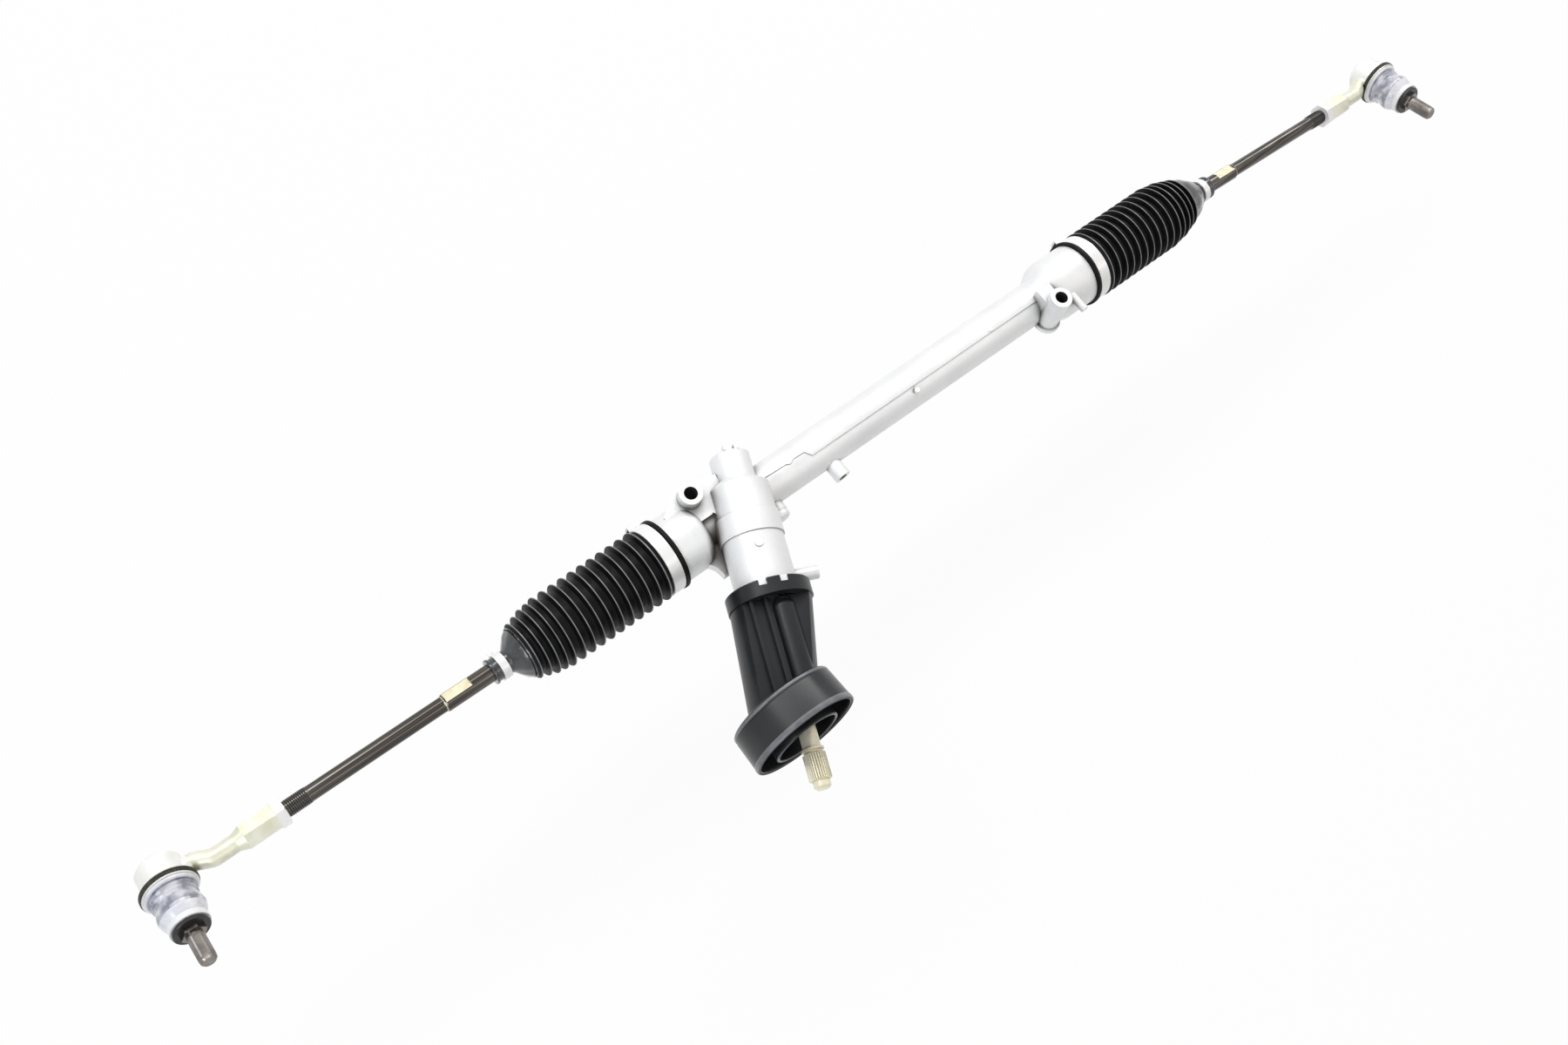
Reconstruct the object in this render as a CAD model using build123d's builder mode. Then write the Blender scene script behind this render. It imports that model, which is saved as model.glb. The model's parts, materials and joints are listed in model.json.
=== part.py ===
from build123d import *
import math
import os

# Rack-and-pinion steering gear, in millimetres.
# X runs along the rack, Z is up (the direction of the two mounting holes), Y points away from the
# steering column. The origin lies on the rack axis, midway between the two bellows.

# ---------------------------------------------------------------- driving dimensions
# rack and pinion
normal_module = 2.0
pressure_angle = 20.0
pinion_teeth = 7
column_angle = 24.0  # pinion shaft from the square to the rack, seen from above
profile_shift = 0.5  # of the normal module
flank_backlash = 0.10  # on each flank
rack_radius = 11.5
rack_pitch_height = 6.4  # pitch line above the rack axis
rack_tooth_count = 25
rack_travel = 66.0  # each way from the middle
pinion_x = -151.7
pinion_face_width = 28.0

# fits
running_fit = 0.05  # radial, pins, balls and bushes
seat_gap = 0.3  # faces that stay clear of each other
stop_gap = 0.5  # left at full travel

# housing
housing_half_length = 228.0  # to the stop faces at both ends
collar_shift = {"left": 0.0, "right": -6.2}  # the right collar lies nearer the middle
tube_wall = 4.5
tube_clearance = 1.0  # between the rack and the tube's bore
collar_radius = 26.5
cuff_seat_radius = 24.5
collar_setback = 8.8  # shoulder of each collar, inboard of the stop face
cuff_seat_reach = 6.5  # cuff seat beyond the stop face
stop_recess_radius = 20.5
left_collar_length = 21.2
left_collar_fillet = 9.0
flare_setback = 33.2  # from the collar's shoulder to the wide end of the right flare
flare_length = 26.0
nose_radius = 15.5
nose_end = -34.0
pinion_housing_radius = 23.5
pinion_housing_end = 85.0
ear_radius = 9.0
ear_hole_radius = 5.25
ear_bottom = -4.0
ear_places = {"left": (-186.3, 19.5), "right": (164.5, -18.6)}
ear_tops = {"left": 31.0, "right": 36.0}
plate_bottom = 8.0
plate_top = 21.0
plate_front = 1.0

# bosses, pegs and casting details
plug_boss_x = -128.6
plug_boss_height = -2.0
plug_boss_radius = 7.6
plug_boss_end = 23.0
cable_boss_x = -69.0
cable_boss_radius = 6.6
cable_boss_end = 29.0
end_peg_setback = 41.5  # inboard of the stop face
end_peg_height = 17.0
end_peg_radius = 3.4
end_peg_end = 33.5
tower_mark_place = (-172.5, -41.0)
tower_mark_radius = 3.4
clip_peg_station = 68.0
clip_peg_radius = 5.2
clip_peg_end = 42.0
side_plug_stem_radius = 4.0
side_plug_head_radius = 7.0
side_plug_head_height = 6.5
parting_step = 0.8  # the rear half of the casting stands proud of the front half
parting_line = ((-134, 1.5), (-107, 0.4), (-104, -1.2), (-99, 0.8), (-89, 0.4), (-85, -5.2), (160, -4.6))
mark_radius = 2.2
mark_places = ((20, -9.5), (106, -2))

# rack bush
bush_wall = 3.45
bush_setback = 10.0  # inboard of the stop face
bush_length = 26.0

# yoke
yoke_radius = 14.0
yoke_bottom = -24.0
yoke_top = -3.5
yoke_liner_thickness = 1.0
yoke_boss_radius = 19.5
yoke_boss_bottom = -28.5
yoke_plug_radius = 16.5
yoke_plug_thickness = 4.0
yoke_spring_radius = 6.5
yoke_spring_wire = 2.2
yoke_spring_turns = 3.0
yoke_pocket_radius = 8.6
yoke_pocket_depth = 8.0

# pinion bearings, stations along the pinion axis from the rack
journal_radius = 6.0
needle_bearing_radius = 10.0
needle_bearing_start = -31.0
needle_bearing_end = -18.0
gear_bore_radius = 12.0
bearing_start = 20.0
bearing_width = 10.0
bearing_bore_radius = 8.5
bearing_radius = 17.5
bearing_ring_thickness = 3.0
bearing_ball_radius = 2.9
bearing_ball_count = 9
circlip_thickness = 1.2
retainer_radius = 18.5
retainer_bore_radius = 12.5
retainer_width = 6.0
seal_radius = 19.0
seal_land_radius = 8.0
seal_width = 7.0
upper_bore_radius = 19.5

# pinion shaft beyond the bearings
shaft_radius = 6.8
spline_radius = 8.4
spline_start = 201.0
spline_length = 20.0
spline_count = 28
spline_depth = 0.7
spline_neck = 1.6  # groove ahead of the splines
shaft_tip_radius = 6.3
shaft_tip_length = 6.4
shaft_tip_chamfer = 1.8

# column cover and dash seal
cover_wall = 2.5
cover_ring_radius = 32.0
cover_ring_start = 76.0
cover_ring_end = 88.0
cover_top_radius = 31.0
cover_neck_radius = 30.2
cover_flat_height = 18.0  # flat top of the tower, above the pinion shaft
cover_tunnel_radius = 10.0
cover_rib_height = 4.0
cover_rib_width = 2.4
cover_rib_sides = (-20.0, -9.0)
flute_side = 4.0
flute_radius = 9.5
flute_height = 14.0
flute_start = 96.0
cover_flange_radius = 33.0
cover_flange_thickness = 2.5
cover_neck_length = 7.0
lug_sides = (-9.5, 6.5)
lug_width = 6.4
lug_height = 26.0
lug_depth = 6.0
lug_notch_depth = 5.0
seal_ring_place = (-1.3998, -0.0625, 188.1344)  # beside, above and along the pinion shaft
seal_ring_direction = (-0.036, -0.995, 0.096)
seal_rim_radius = 43.4
seal_back_radius = 42.0
seal_depth = 31.0
seal_wall = 3.2
seal_floor = 17.0  # depth of the annular floor behind the mouth
seal_flange_room = 34.6
seal_sleeve_radius = 27.2
seal_sleeve_wall = 2.4
seal_sleeve_reach = 1.5  # how far the inner sleeve stands out of the mouth

# bellows
bellows_lip_radius = 29.0
bellows_cuff_radius = 27.0
ridge_radius = 29.0
ridge_depth = 3.8
first_ridge_inset = 18.0  # from the cuff's end
ridge_count = 11
end_ridge_pitch = {"left": 6.2, "right": 7.0}
end_ridge_radii = (27.8, 27.0, 24.9, 22.9)
ridge_flat = 1.6
bellows_wall = 1.8
neck_radius = 9.0
dome_length = {"left": 13.5, "right": 24.7}  # from the last ridge to the neck
neck_reach = {"left": 48.5, "right": 52.5}  # from the inner ball to the neck
neck_length = 15.0

# clamps
large_clamp_inset = 4.1  # from the cuff's end
large_clamp_width = 10.0
clamp_thickness = 1.2
clamp_ear_height = 4.0
clamp_ear_width = 9.0
small_clamp_inset = 3.0  # behind the start of the neck
small_clamp_width = 6.0

# inner joints
inner_ball_depth = 19.0  # from the socket's inboard face to the ball's centre
inner_ball_radius = 13.5
inner_socket_radius = 19.0
inner_mouth_reach = 11.5  # from the ball's centre to the socket's mouth
rack_thread_radius = 7.0
rack_thread_length = 20.0
seat_thickness = 1.5
inner_swing = 24.5  # half angle of the socket's mouth
inner_seat_lip = 7.0
outer_seat_lip = 5.5

# tie rods, stations from the inner ball along each rod
rod_neck_radius = 6.75
rod_flats_start = 80.0
rod_flats_end = 101.5
rod_flats_width = 11.0
rod_shank_radius = 5.75
rod_thread_start = 210.5
rod_thread_end = 248.5
rod_thread_radius = 6.0
rod_yaw = {"left": 0.5, "right": -1.0}
rod_pitch = {"left": 0.7, "right": -4.3}
rod_end_shift = {"left": 0.0, "right": 0.0}  # how far each rod end is screwed out

# jam nuts and rod ends
jam_nut_start = 229.2
jam_nut_width = 19.0
jam_nut_thickness = 7.0
sleeve_width = 17.0
sleeve_length = 24.0
arm_radius = 6.4
arm_straight = 22.0
arm_joggle_length = 12.0
arm_joggle = 6.6
outer_ball_station = 314.8
stud_roll = 21.0  # studs above the horizontal
stud_lean = 4.4  # both studs towards the left
outer_ball_radius = 9.5
socket_radius = 16.0
socket_bottom = -13.0
socket_rim_radius = 19.3
socket_rim_start = 5.5
socket_rim_end = 11.0
outer_swing = 22.0
cap_radius = 12.2
cap_thickness = 2.0

# ball studs and their boots, stations from the outer ball
stud_neck_radius = 5.2
stud_taper_radius = 6.4
boot_end = 41.8
boot_flare_radius = 18.2
boot_waist_radius = 14.4
boot_bulge_radius = 16.2
boot_lip_radius = 12.6
boot_wall = 1.6
boot_ring_radius = 13.8
boot_ring_width = 4.2
washer_radius = 12.8
washer_thickness = 2.6
stud_hex_width = 15.0
stud_hex_thickness = 3.6
stud_thread_radius = 5.7
stud_end = 71.0
clip_wire_radius = 0.9

# ---------------------------------------------------------------- derived values
helix_angle = column_angle
tube_bore_radius = rack_radius + tube_clearance
tube_radius = tube_bore_radius + tube_wall
bush_radius = rack_radius + running_fit + bush_wall
transverse_module = normal_module / math.cos(math.radians(helix_angle))
pinion_pitch_radius = pinion_teeth * transverse_module / 2
rack_pitch = math.pi * normal_module
rack_tip_height = rack_pitch_height + normal_module
rack_root_height = rack_pitch_height - 1.25 * normal_module
pinion_z = rack_pitch_height + pinion_pitch_radius + profile_shift * normal_module
pinion_tip_radius = pinion_pitch_radius + (1 + profile_shift) * normal_module
pinion_root_radius = pinion_pitch_radius - (1.25 - profile_shift) * normal_module
collar_outboard = housing_half_length - collar_setback
cuff_seat_end = housing_half_length + cuff_seat_reach
left_collar_inboard = collar_outboard - left_collar_length
right_flare_end = collar_outboard - flare_setback
right_flare_start = right_flare_end - flare_length
end_peg_x = housing_half_length - end_peg_setback
bush_end = housing_half_length - bush_setback
bush_start = bush_end - bush_length
socket_inboard = housing_half_length + rack_travel + stop_gap
inner_ball_x = socket_inboard + inner_ball_depth
inner_mouth_x = inner_ball_x + inner_mouth_reach
bellows_start = collar_outboard + seat_gap
large_clamp_start = bellows_start + large_clamp_inset
spline_end = spline_start + spline_length
SIDES = {"left": -1, "right": 1}
first_ridge = {side: bellows_start + collar_shift[side] + first_ridge_inset for side in SIDES}
neck_start = {side: inner_ball_x + neck_reach[side] for side in SIDES}


def even_pitch(side):
    """Pitch of the wide ridges, which share the length left between the cuff and the dome."""
    end_ridges = len(end_ridge_radii) * end_ridge_pitch[side]
    return (neck_start[side] - first_ridge[side] - dome_length[side] - end_ridges) / (ridge_count - 1)


ridge_pitch = {side: even_pitch(side) for side in SIDES}

# ---------------------------------------------------------------- frames
rack_frame = Plane.YZ
pinion_direction = Vector(0, -1, 0).rotate(Axis.Z, -column_angle)
pinion_frame = Plane(
    origin=(pinion_x, 0, pinion_z),
    x_dir=Vector(1, 0, 0).rotate(Axis.Z, -column_angle),
    z_dir=pinion_direction,
)
seal_frame = Plane(
    origin=pinion_frame.from_local_coords(seal_ring_place),
    x_dir=(0.995, -0.036, 0),
    z_dir=seal_ring_direction,
)
yoke_frame = Plane(origin=(pinion_x, 0, 0), x_dir=(1, 0, 0), z_dir=(0, 0, 1))


def side_frame(side):
    """Frame on the rack axis whose Z points outboard."""
    return Plane(origin=(0, 0, 0), x_dir=(0, -1, 0), z_dir=(SIDES[side], 0, 0))


def rod_frame(side):
    """Frame at the inner ball: Z along the tie rod, X towards the ball stud's thread."""
    outboard = Vector(SIDES[side], 0, 0).rotate(Axis.Z, SIDES[side] * rod_yaw[side])
    outboard = outboard.rotate(Axis.Y, -SIDES[side] * rod_pitch[side])
    stud = Vector(0, -1, 0).rotate(Axis.X, -stud_roll)
    stud = (stud - outboard * stud.dot(outboard)).normalized()
    return Plane(origin=(SIDES[side] * inner_ball_x, 0, 0), x_dir=stud, z_dir=outboard)


def station(side, distance):
    """Distance from the inner ball of what moves out with the rod end."""
    return distance + rod_end_shift[side]


def stud_frame(side):
    """Frame at the outer ball: Z along the leaning stud, X beside the tie rod."""
    neck = rod_frame(side)
    centre = neck.from_local_coords((-arm_joggle, 0, station(side, outer_ball_station)))
    lean = math.radians(-SIDES[side] * stud_lean)
    stud = neck.x_dir * math.cos(lean) + neck.z_dir * math.sin(lean)
    across = neck.z_dir * math.cos(lean) - neck.x_dir * math.sin(lean)
    return Plane(origin=centre, x_dir=across, z_dir=stud)


def axial_plane(frame):
    """Plane for outlines of (station, radius) about the frame's Z axis."""
    return Plane(origin=frame.origin, x_dir=frame.z_dir, z_dir=frame.y_dir)


# ---------------------------------------------------------------- small helpers
def turned(frame, outline, mode=Mode.ADD):
    """Turn a closed outline of (station, radius) corners about the frame's Z axis."""
    with BuildSketch(axial_plane(frame)) as profile:
        with BuildLine():
            Polyline(*outline, close=True)
        make_face()
    revolve(profile.sketch, axis=Axis(frame.origin, frame.z_dir), mode=mode)


def rod(frame, radius, start, end, mode=Mode.ADD):
    """Round bar about the frame's Z axis between two stations."""
    with BuildSketch(frame.offset(start)) as disc:
        Circle(radius)
    extrude(disc.sketch, amount=end - start, mode=mode)


def tube(frame, radius, bore, start, end):
    """Plain ring about the frame's Z axis between two stations."""
    with BuildSketch(frame.offset(start)) as ring:
        Circle(radius)
        Circle(bore, mode=Mode.SUBTRACT)
    extrude(ring.sketch, amount=end - start)


def hexagon(frame, width, start, end, mode=Mode.ADD):
    """Hexagonal bar, given across its flats."""
    with BuildSketch(frame.offset(start)) as flats:
        RegularPolygon(width / 2, 6, major_radius=False)
    extrude(flats.sketch, amount=end - start, mode=mode)


def ball(frame, radius, mode=Mode.ADD):
    """Ball at the frame's origin."""
    with Locations(frame.origin):
        Sphere(radius, mode=mode)


def write(builder, name):
    """Label a finished piece and write its STEP file."""
    builder.part.label = name
    export_step(builder.part, f"parts/{name}.step")


os.makedirs("parts", exist_ok=True)


# ---------------------------------------------------------------- rack bar
def rack_space(depth_half):
    """Half width of a tooth space at a height above the pitch line."""
    slope = math.tan(math.radians(pressure_angle))
    return rack_pitch / 4 + depth_half * slope + flank_backlash / math.cos(math.radians(pressure_angle))


with BuildPart() as rack_bar:
    rod(rack_frame, rack_radius, -socket_inboard, socket_inboard)
    chamfer(rack_bar.edges().filter_by(GeomType.CIRCLE), 1.0)
    toothed_length = (rack_tooth_count + 0.5) * rack_pitch
    with BuildSketch(Plane.XZ) as flat:
        with Locations((pinion_x, rack_tip_height)):
            Rectangle(toothed_length, rack_radius, align=(Align.CENTER, Align.MIN))
    extrude(flat.sketch, amount=rack_radius, both=True, mode=Mode.SUBTRACT)
    top_half = rack_space(normal_module)
    root_half = rack_space(-1.25 * normal_module)
    with BuildSketch(Plane.XZ) as spaces:
        with Locations((pinion_x, 0)):
            with GridLocations(rack_pitch, 1, rack_tooth_count, 1):
                Polygon(
                    (-root_half, rack_root_height),
                    (root_half, rack_root_height),
                    (top_half, rack_tip_height),
                    (-top_half, rack_tip_height),
                    align=None,
                )
    extrude(spaces.sketch, amount=rack_radius, both=True, mode=Mode.SUBTRACT)
    for side in SIDES:
        end = side_frame(side)
        rod(end, rack_thread_radius, socket_inboard - rack_thread_length - 1, socket_inboard, Mode.SUBTRACT)
write(rack_bar, "rack_bar")


# ---------------------------------------------------------------- pinion shaft
def involute(radius):
    """Polar angle turned by an involute from its base circle out to a radius."""
    cosine = pinion_base_radius / radius
    return math.sqrt(1 / cosine**2 - 1) - math.acos(cosine)


def on_pinion(radius, angle):
    """Point of the pinion's section, with angle 0 pointing down at the rack."""
    return (radius * math.sin(angle), -radius * math.cos(angle))


transverse_pressure = math.atan(math.tan(math.radians(pressure_angle)) / math.cos(math.radians(helix_angle)))
pinion_base_radius = pinion_pitch_radius * math.cos(transverse_pressure)
tooth_half_angle = (
    math.pi / 2 + 2 * profile_shift * math.tan(math.radians(pressure_angle))
) / pinion_teeth
flank_radii = [pinion_base_radius, (pinion_base_radius + pinion_tip_radius) / 2, pinion_tip_radius]
pinion_twist = math.degrees(
    pinion_face_width * math.tan(math.radians(helix_angle)) / pinion_pitch_radius
)
gear_end = pinion_face_width / 2

with BuildSketch() as pinion_section:
    Circle(pinion_root_radius)
    with BuildLine() as tooth:
        half_angles = [tooth_half_angle + involute(pinion_pitch_radius) - involute(r) for r in flank_radii]
        right_flank = [on_pinion(r, a) for r, a in zip(flank_radii, half_angles)]
        left_flank = [on_pinion(r, -a) for r, a in zip(flank_radii, half_angles)]
        root_radius = pinion_root_radius - 0.3
        root = Line(on_pinion(root_radius, -half_angles[0]), on_pinion(root_radius, half_angles[0]))
        Line(root @ 1, right_flank[0])
        ThreePointArc(*right_flank)
        ThreePointArc(right_flank[2], on_pinion(pinion_tip_radius, 0), left_flank[2])
        ThreePointArc(*reversed(left_flank))
        Line(left_flank[0], root @ 0)
    make_face(mode=Mode.PRIVATE)
    tooth_face = make_face(tooth.edges(), mode=Mode.PRIVATE)
    with PolarLocations(0, pinion_teeth):
        add(tooth_face)

gear_section = Rot(0, 0, -pinion_twist / 2) * pinion_section.sketch.face()
gear_blank = Solid.extrude_linear_with_rotation(
    gear_section, center=(0, 0, 0), normal=(0, 0, pinion_face_width), angle=pinion_twist
)
gear_solid = pinion_frame.location * (Pos(0, 0, -gear_end) * gear_blank)

with BuildPart() as pinion_shaft:
    add(gear_solid)
    turned(
        pinion_frame,
        [
            (needle_bearing_start, 0),
            (needle_bearing_start, journal_radius - 0.8),
            (needle_bearing_start + 0.8, journal_radius - running_fit),
            (needle_bearing_end + 1.5, journal_radius - running_fit),
            (-gear_end, pinion_root_radius - 0.2),
            (gear_end, pinion_root_radius - 0.2),
            (gear_end + 0.5, bearing_bore_radius + 1.6),
            (bearing_start, bearing_bore_radius + 1.6),
            (bearing_start, bearing_bore_radius),
            (bearing_start + bearing_width + circlip_thickness + 1.5, bearing_bore_radius),
            (bearing_start + bearing_width + circlip_thickness + 2.5, seal_land_radius),
            (pinion_housing_end - 30, seal_land_radius),
            (pinion_housing_end - 28, shaft_radius),
            (spline_start - 2 * spline_neck, shaft_radius),
            (spline_start - 2 * spline_neck, spline_radius),
            (spline_start - spline_neck, spline_radius),
            (spline_start - spline_neck, shaft_radius),
            (spline_start, shaft_radius),
            (spline_start + 0.8, spline_radius),
            (spline_end - 0.8, spline_radius),
            (spline_end, spline_radius - 0.8),
            (spline_end, shaft_tip_radius),
            (spline_end + shaft_tip_length - shaft_tip_chamfer, shaft_tip_radius),
            (spline_end + shaft_tip_length, shaft_tip_radius - shaft_tip_chamfer),
            (spline_end + shaft_tip_length, 0),
        ],
    )
    with BuildSketch(pinion_frame.offset(spline_start)) as spline_grooves:
        with PolarLocations(spline_radius, spline_count):
            Rectangle(2 * spline_depth, spline_depth, rotation=45)
    extrude(spline_grooves.sketch, amount=spline_length, mode=Mode.SUBTRACT)
write(pinion_shaft, "pinion_shaft")


# ---------------------------------------------------------------- bearings, seal and retainer
bearing_end = bearing_start + bearing_width
inner_ring_radius = bearing_bore_radius + bearing_ring_thickness
outer_ring_bore = bearing_radius - bearing_ring_thickness
ball_circle = (inner_ring_radius + outer_ring_bore) / 2
ball_plane = pinion_frame.offset(bearing_start + bearing_width / 2)


def grooved_ring(radius, bore):
    """Bearing ring turned in one with the groove that the balls run in."""
    with BuildSketch(axial_plane(ball_plane)) as profile:
        with Locations((0, (radius + bore) / 2)):
            Rectangle(bearing_width, radius - bore)
        with Locations((0, ball_circle)):
            Circle(bearing_ball_radius + running_fit, mode=Mode.SUBTRACT)
    revolve(profile.sketch, axis=Axis(ball_plane.origin, ball_plane.z_dir))


with BuildPart() as bearing_inner_ring:
    grooved_ring(inner_ring_radius, bearing_bore_radius)
write(bearing_inner_ring, "bearing_inner_ring")

with BuildPart() as bearing_outer_ring:
    grooved_ring(bearing_radius, outer_ring_bore)
write(bearing_outer_ring, "bearing_outer_ring")

with BuildPart() as bearing_balls:
    with Locations(ball_plane):
        with PolarLocations(ball_circle, bearing_ball_count):
            Sphere(bearing_ball_radius)
write(bearing_balls, "bearing_balls")

with BuildPart() as needle_bearing:
    tube(pinion_frame, needle_bearing_radius, journal_radius, needle_bearing_start, needle_bearing_end)
    chamfer(needle_bearing.edges().filter_by(GeomType.CIRCLE), 0.4)
write(needle_bearing, "needle_bearing")

with BuildPart() as pinion_circlip:
    with BuildSketch(pinion_frame.offset(bearing_end)) as clip_shape:
        Circle(bearing_bore_radius + 1.6)
        Circle(bearing_bore_radius, mode=Mode.SUBTRACT)
        with Locations((0, bearing_bore_radius + 1)):
            Rectangle(4, 4, mode=Mode.SUBTRACT)
    extrude(clip_shape.sketch, amount=circlip_thickness)
write(pinion_circlip, "pinion_circlip")

retainer_end = bearing_end + retainer_width
with BuildPart() as bearing_retainer:
    tube(pinion_frame, retainer_radius, retainer_bore_radius, bearing_end, retainer_end)
    with BuildSketch(pinion_frame.offset(retainer_end)) as spanner_slots:
        with PolarLocations(retainer_bore_radius, 4):
            Rectangle(4, 4)
    extrude(spanner_slots.sketch, amount=-retainer_width / 2, mode=Mode.SUBTRACT)
write(bearing_retainer, "bearing_retainer")

seal_start = retainer_end + 1
seal_lip_bore = seal_land_radius + running_fit
with BuildPart() as pinion_seal:
    turned(
        pinion_frame,
        [
            (seal_start, seal_radius),
            (seal_start + seal_width, seal_radius),
            (seal_start + seal_width, seal_radius - 2),
            (seal_start + 2, seal_radius - 2),
            (seal_start + 2, seal_lip_bore + 2),
            (seal_start + seal_width - 2, seal_lip_bore + 1.4),
            (seal_start + seal_width - 2, seal_lip_bore),
            (seal_start, seal_lip_bore + 1),
        ],
    )
write(pinion_seal, "pinion_seal")

# ---------------------------------------------------------------- rack bush
with BuildPart() as rack_bush:
    tube(rack_frame, bush_radius, rack_radius + running_fit, bush_start, bush_end)
    chamfer(rack_bush.edges().filter_by(GeomType.CIRCLE), 0.6)
write(rack_bush, "rack_bush")

# ---------------------------------------------------------------- yoke
liner_radius = rack_radius + running_fit + yoke_liner_thickness
spring_seat = yoke_bottom + yoke_pocket_depth
plug_top = yoke_boss_bottom + yoke_plug_thickness

with BuildPart() as yoke:
    rod(yoke_frame, yoke_radius, yoke_bottom, yoke_top)
    chamfer(yoke.edges().filter_by(GeomType.CIRCLE).sort_by(Axis.Z)[0], 0.8)
    rod(rack_frame, liner_radius, pinion_x - 2 * yoke_radius, pinion_x + 2 * yoke_radius, Mode.SUBTRACT)
    rod(yoke_frame, yoke_pocket_radius, yoke_bottom, spring_seat, Mode.SUBTRACT)
write(yoke, "yoke")

with BuildPart() as yoke_liner:
    rod(yoke_frame, yoke_radius - 1, -liner_radius - 1, yoke_top)
    bar_span = (pinion_x - 2 * yoke_radius, pinion_x + 2 * yoke_radius)
    with BuildSketch(rack_frame.offset(bar_span[0])) as liner_section:
        Circle(liner_radius)
        Circle(rack_radius + running_fit, mode=Mode.SUBTRACT)
    extrude(liner_section.sketch, amount=bar_span[1] - bar_span[0], mode=Mode.INTERSECT)
write(yoke_liner, "yoke_liner")

with BuildPart() as yoke_plug:
    rod(yoke_frame, yoke_plug_radius, yoke_boss_bottom, plug_top)
    chamfer(yoke_plug.edges().filter_by(GeomType.CIRCLE), 0.8)
    hexagon(yoke_frame, 14, yoke_boss_bottom, yoke_boss_bottom + 2.2, Mode.SUBTRACT)
write(yoke_plug, "yoke_plug")

spring_bottom = plug_top + yoke_spring_wire / 2
spring_height = spring_seat - plug_top - yoke_spring_wire
with BuildPart() as yoke_spring:
    with BuildLine(yoke_frame.offset(spring_bottom)) as spring_path:
        Helix(spring_height / yoke_spring_turns, spring_height, yoke_spring_radius)
    with BuildSketch(Plane(spring_path.line @ 0, z_dir=spring_path.line % 0)) as wire_section:
        Circle(yoke_spring_wire / 2 - 0.02)
    sweep(wire_section.sketch, path=spring_path.line, is_frenet=True)
write(yoke_spring, "yoke_spring")

# ---------------------------------------------------------------- rack housing
upper_bore_start = seal_start + seal_width
cover_grip_start = cover_ring_start + cover_wall + seat_gap
clip_peg_frame = Plane(
    origin=pinion_frame.from_local_coords((0, -3, clip_peg_station)),
    x_dir=pinion_frame.z_dir,
    z_dir=pinion_frame.x_dir,
)


def front_at(x, height=0):
    """Frame over the rack axis whose Z points at the steering column's side."""
    return Plane(origin=(x, 0, height), x_dir=(1, 0, 0), z_dir=(0, -1, 0))


def ear_frame(side):
    """Frame on the axis of a mounting hole, at the height of the rack."""
    return Plane(origin=(*ear_places[side], 0), x_dir=(1, 0, 0), z_dir=(0, 0, 1))


# rear half of the casting, proud of the front half along the parting line
with BuildPart() as rear_skin:
    start_x, end_x = parting_line[0][0], parting_line[-1][0]
    with BuildSketch() as rear_half:
        Polygon((start_x, tube_radius), *parting_line, (end_x, tube_radius), align=None)
    extrude(amount=tube_radius + parting_step)
    rod(rack_frame, tube_radius + parting_step, start_x, end_x, Mode.INTERSECT)

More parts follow.
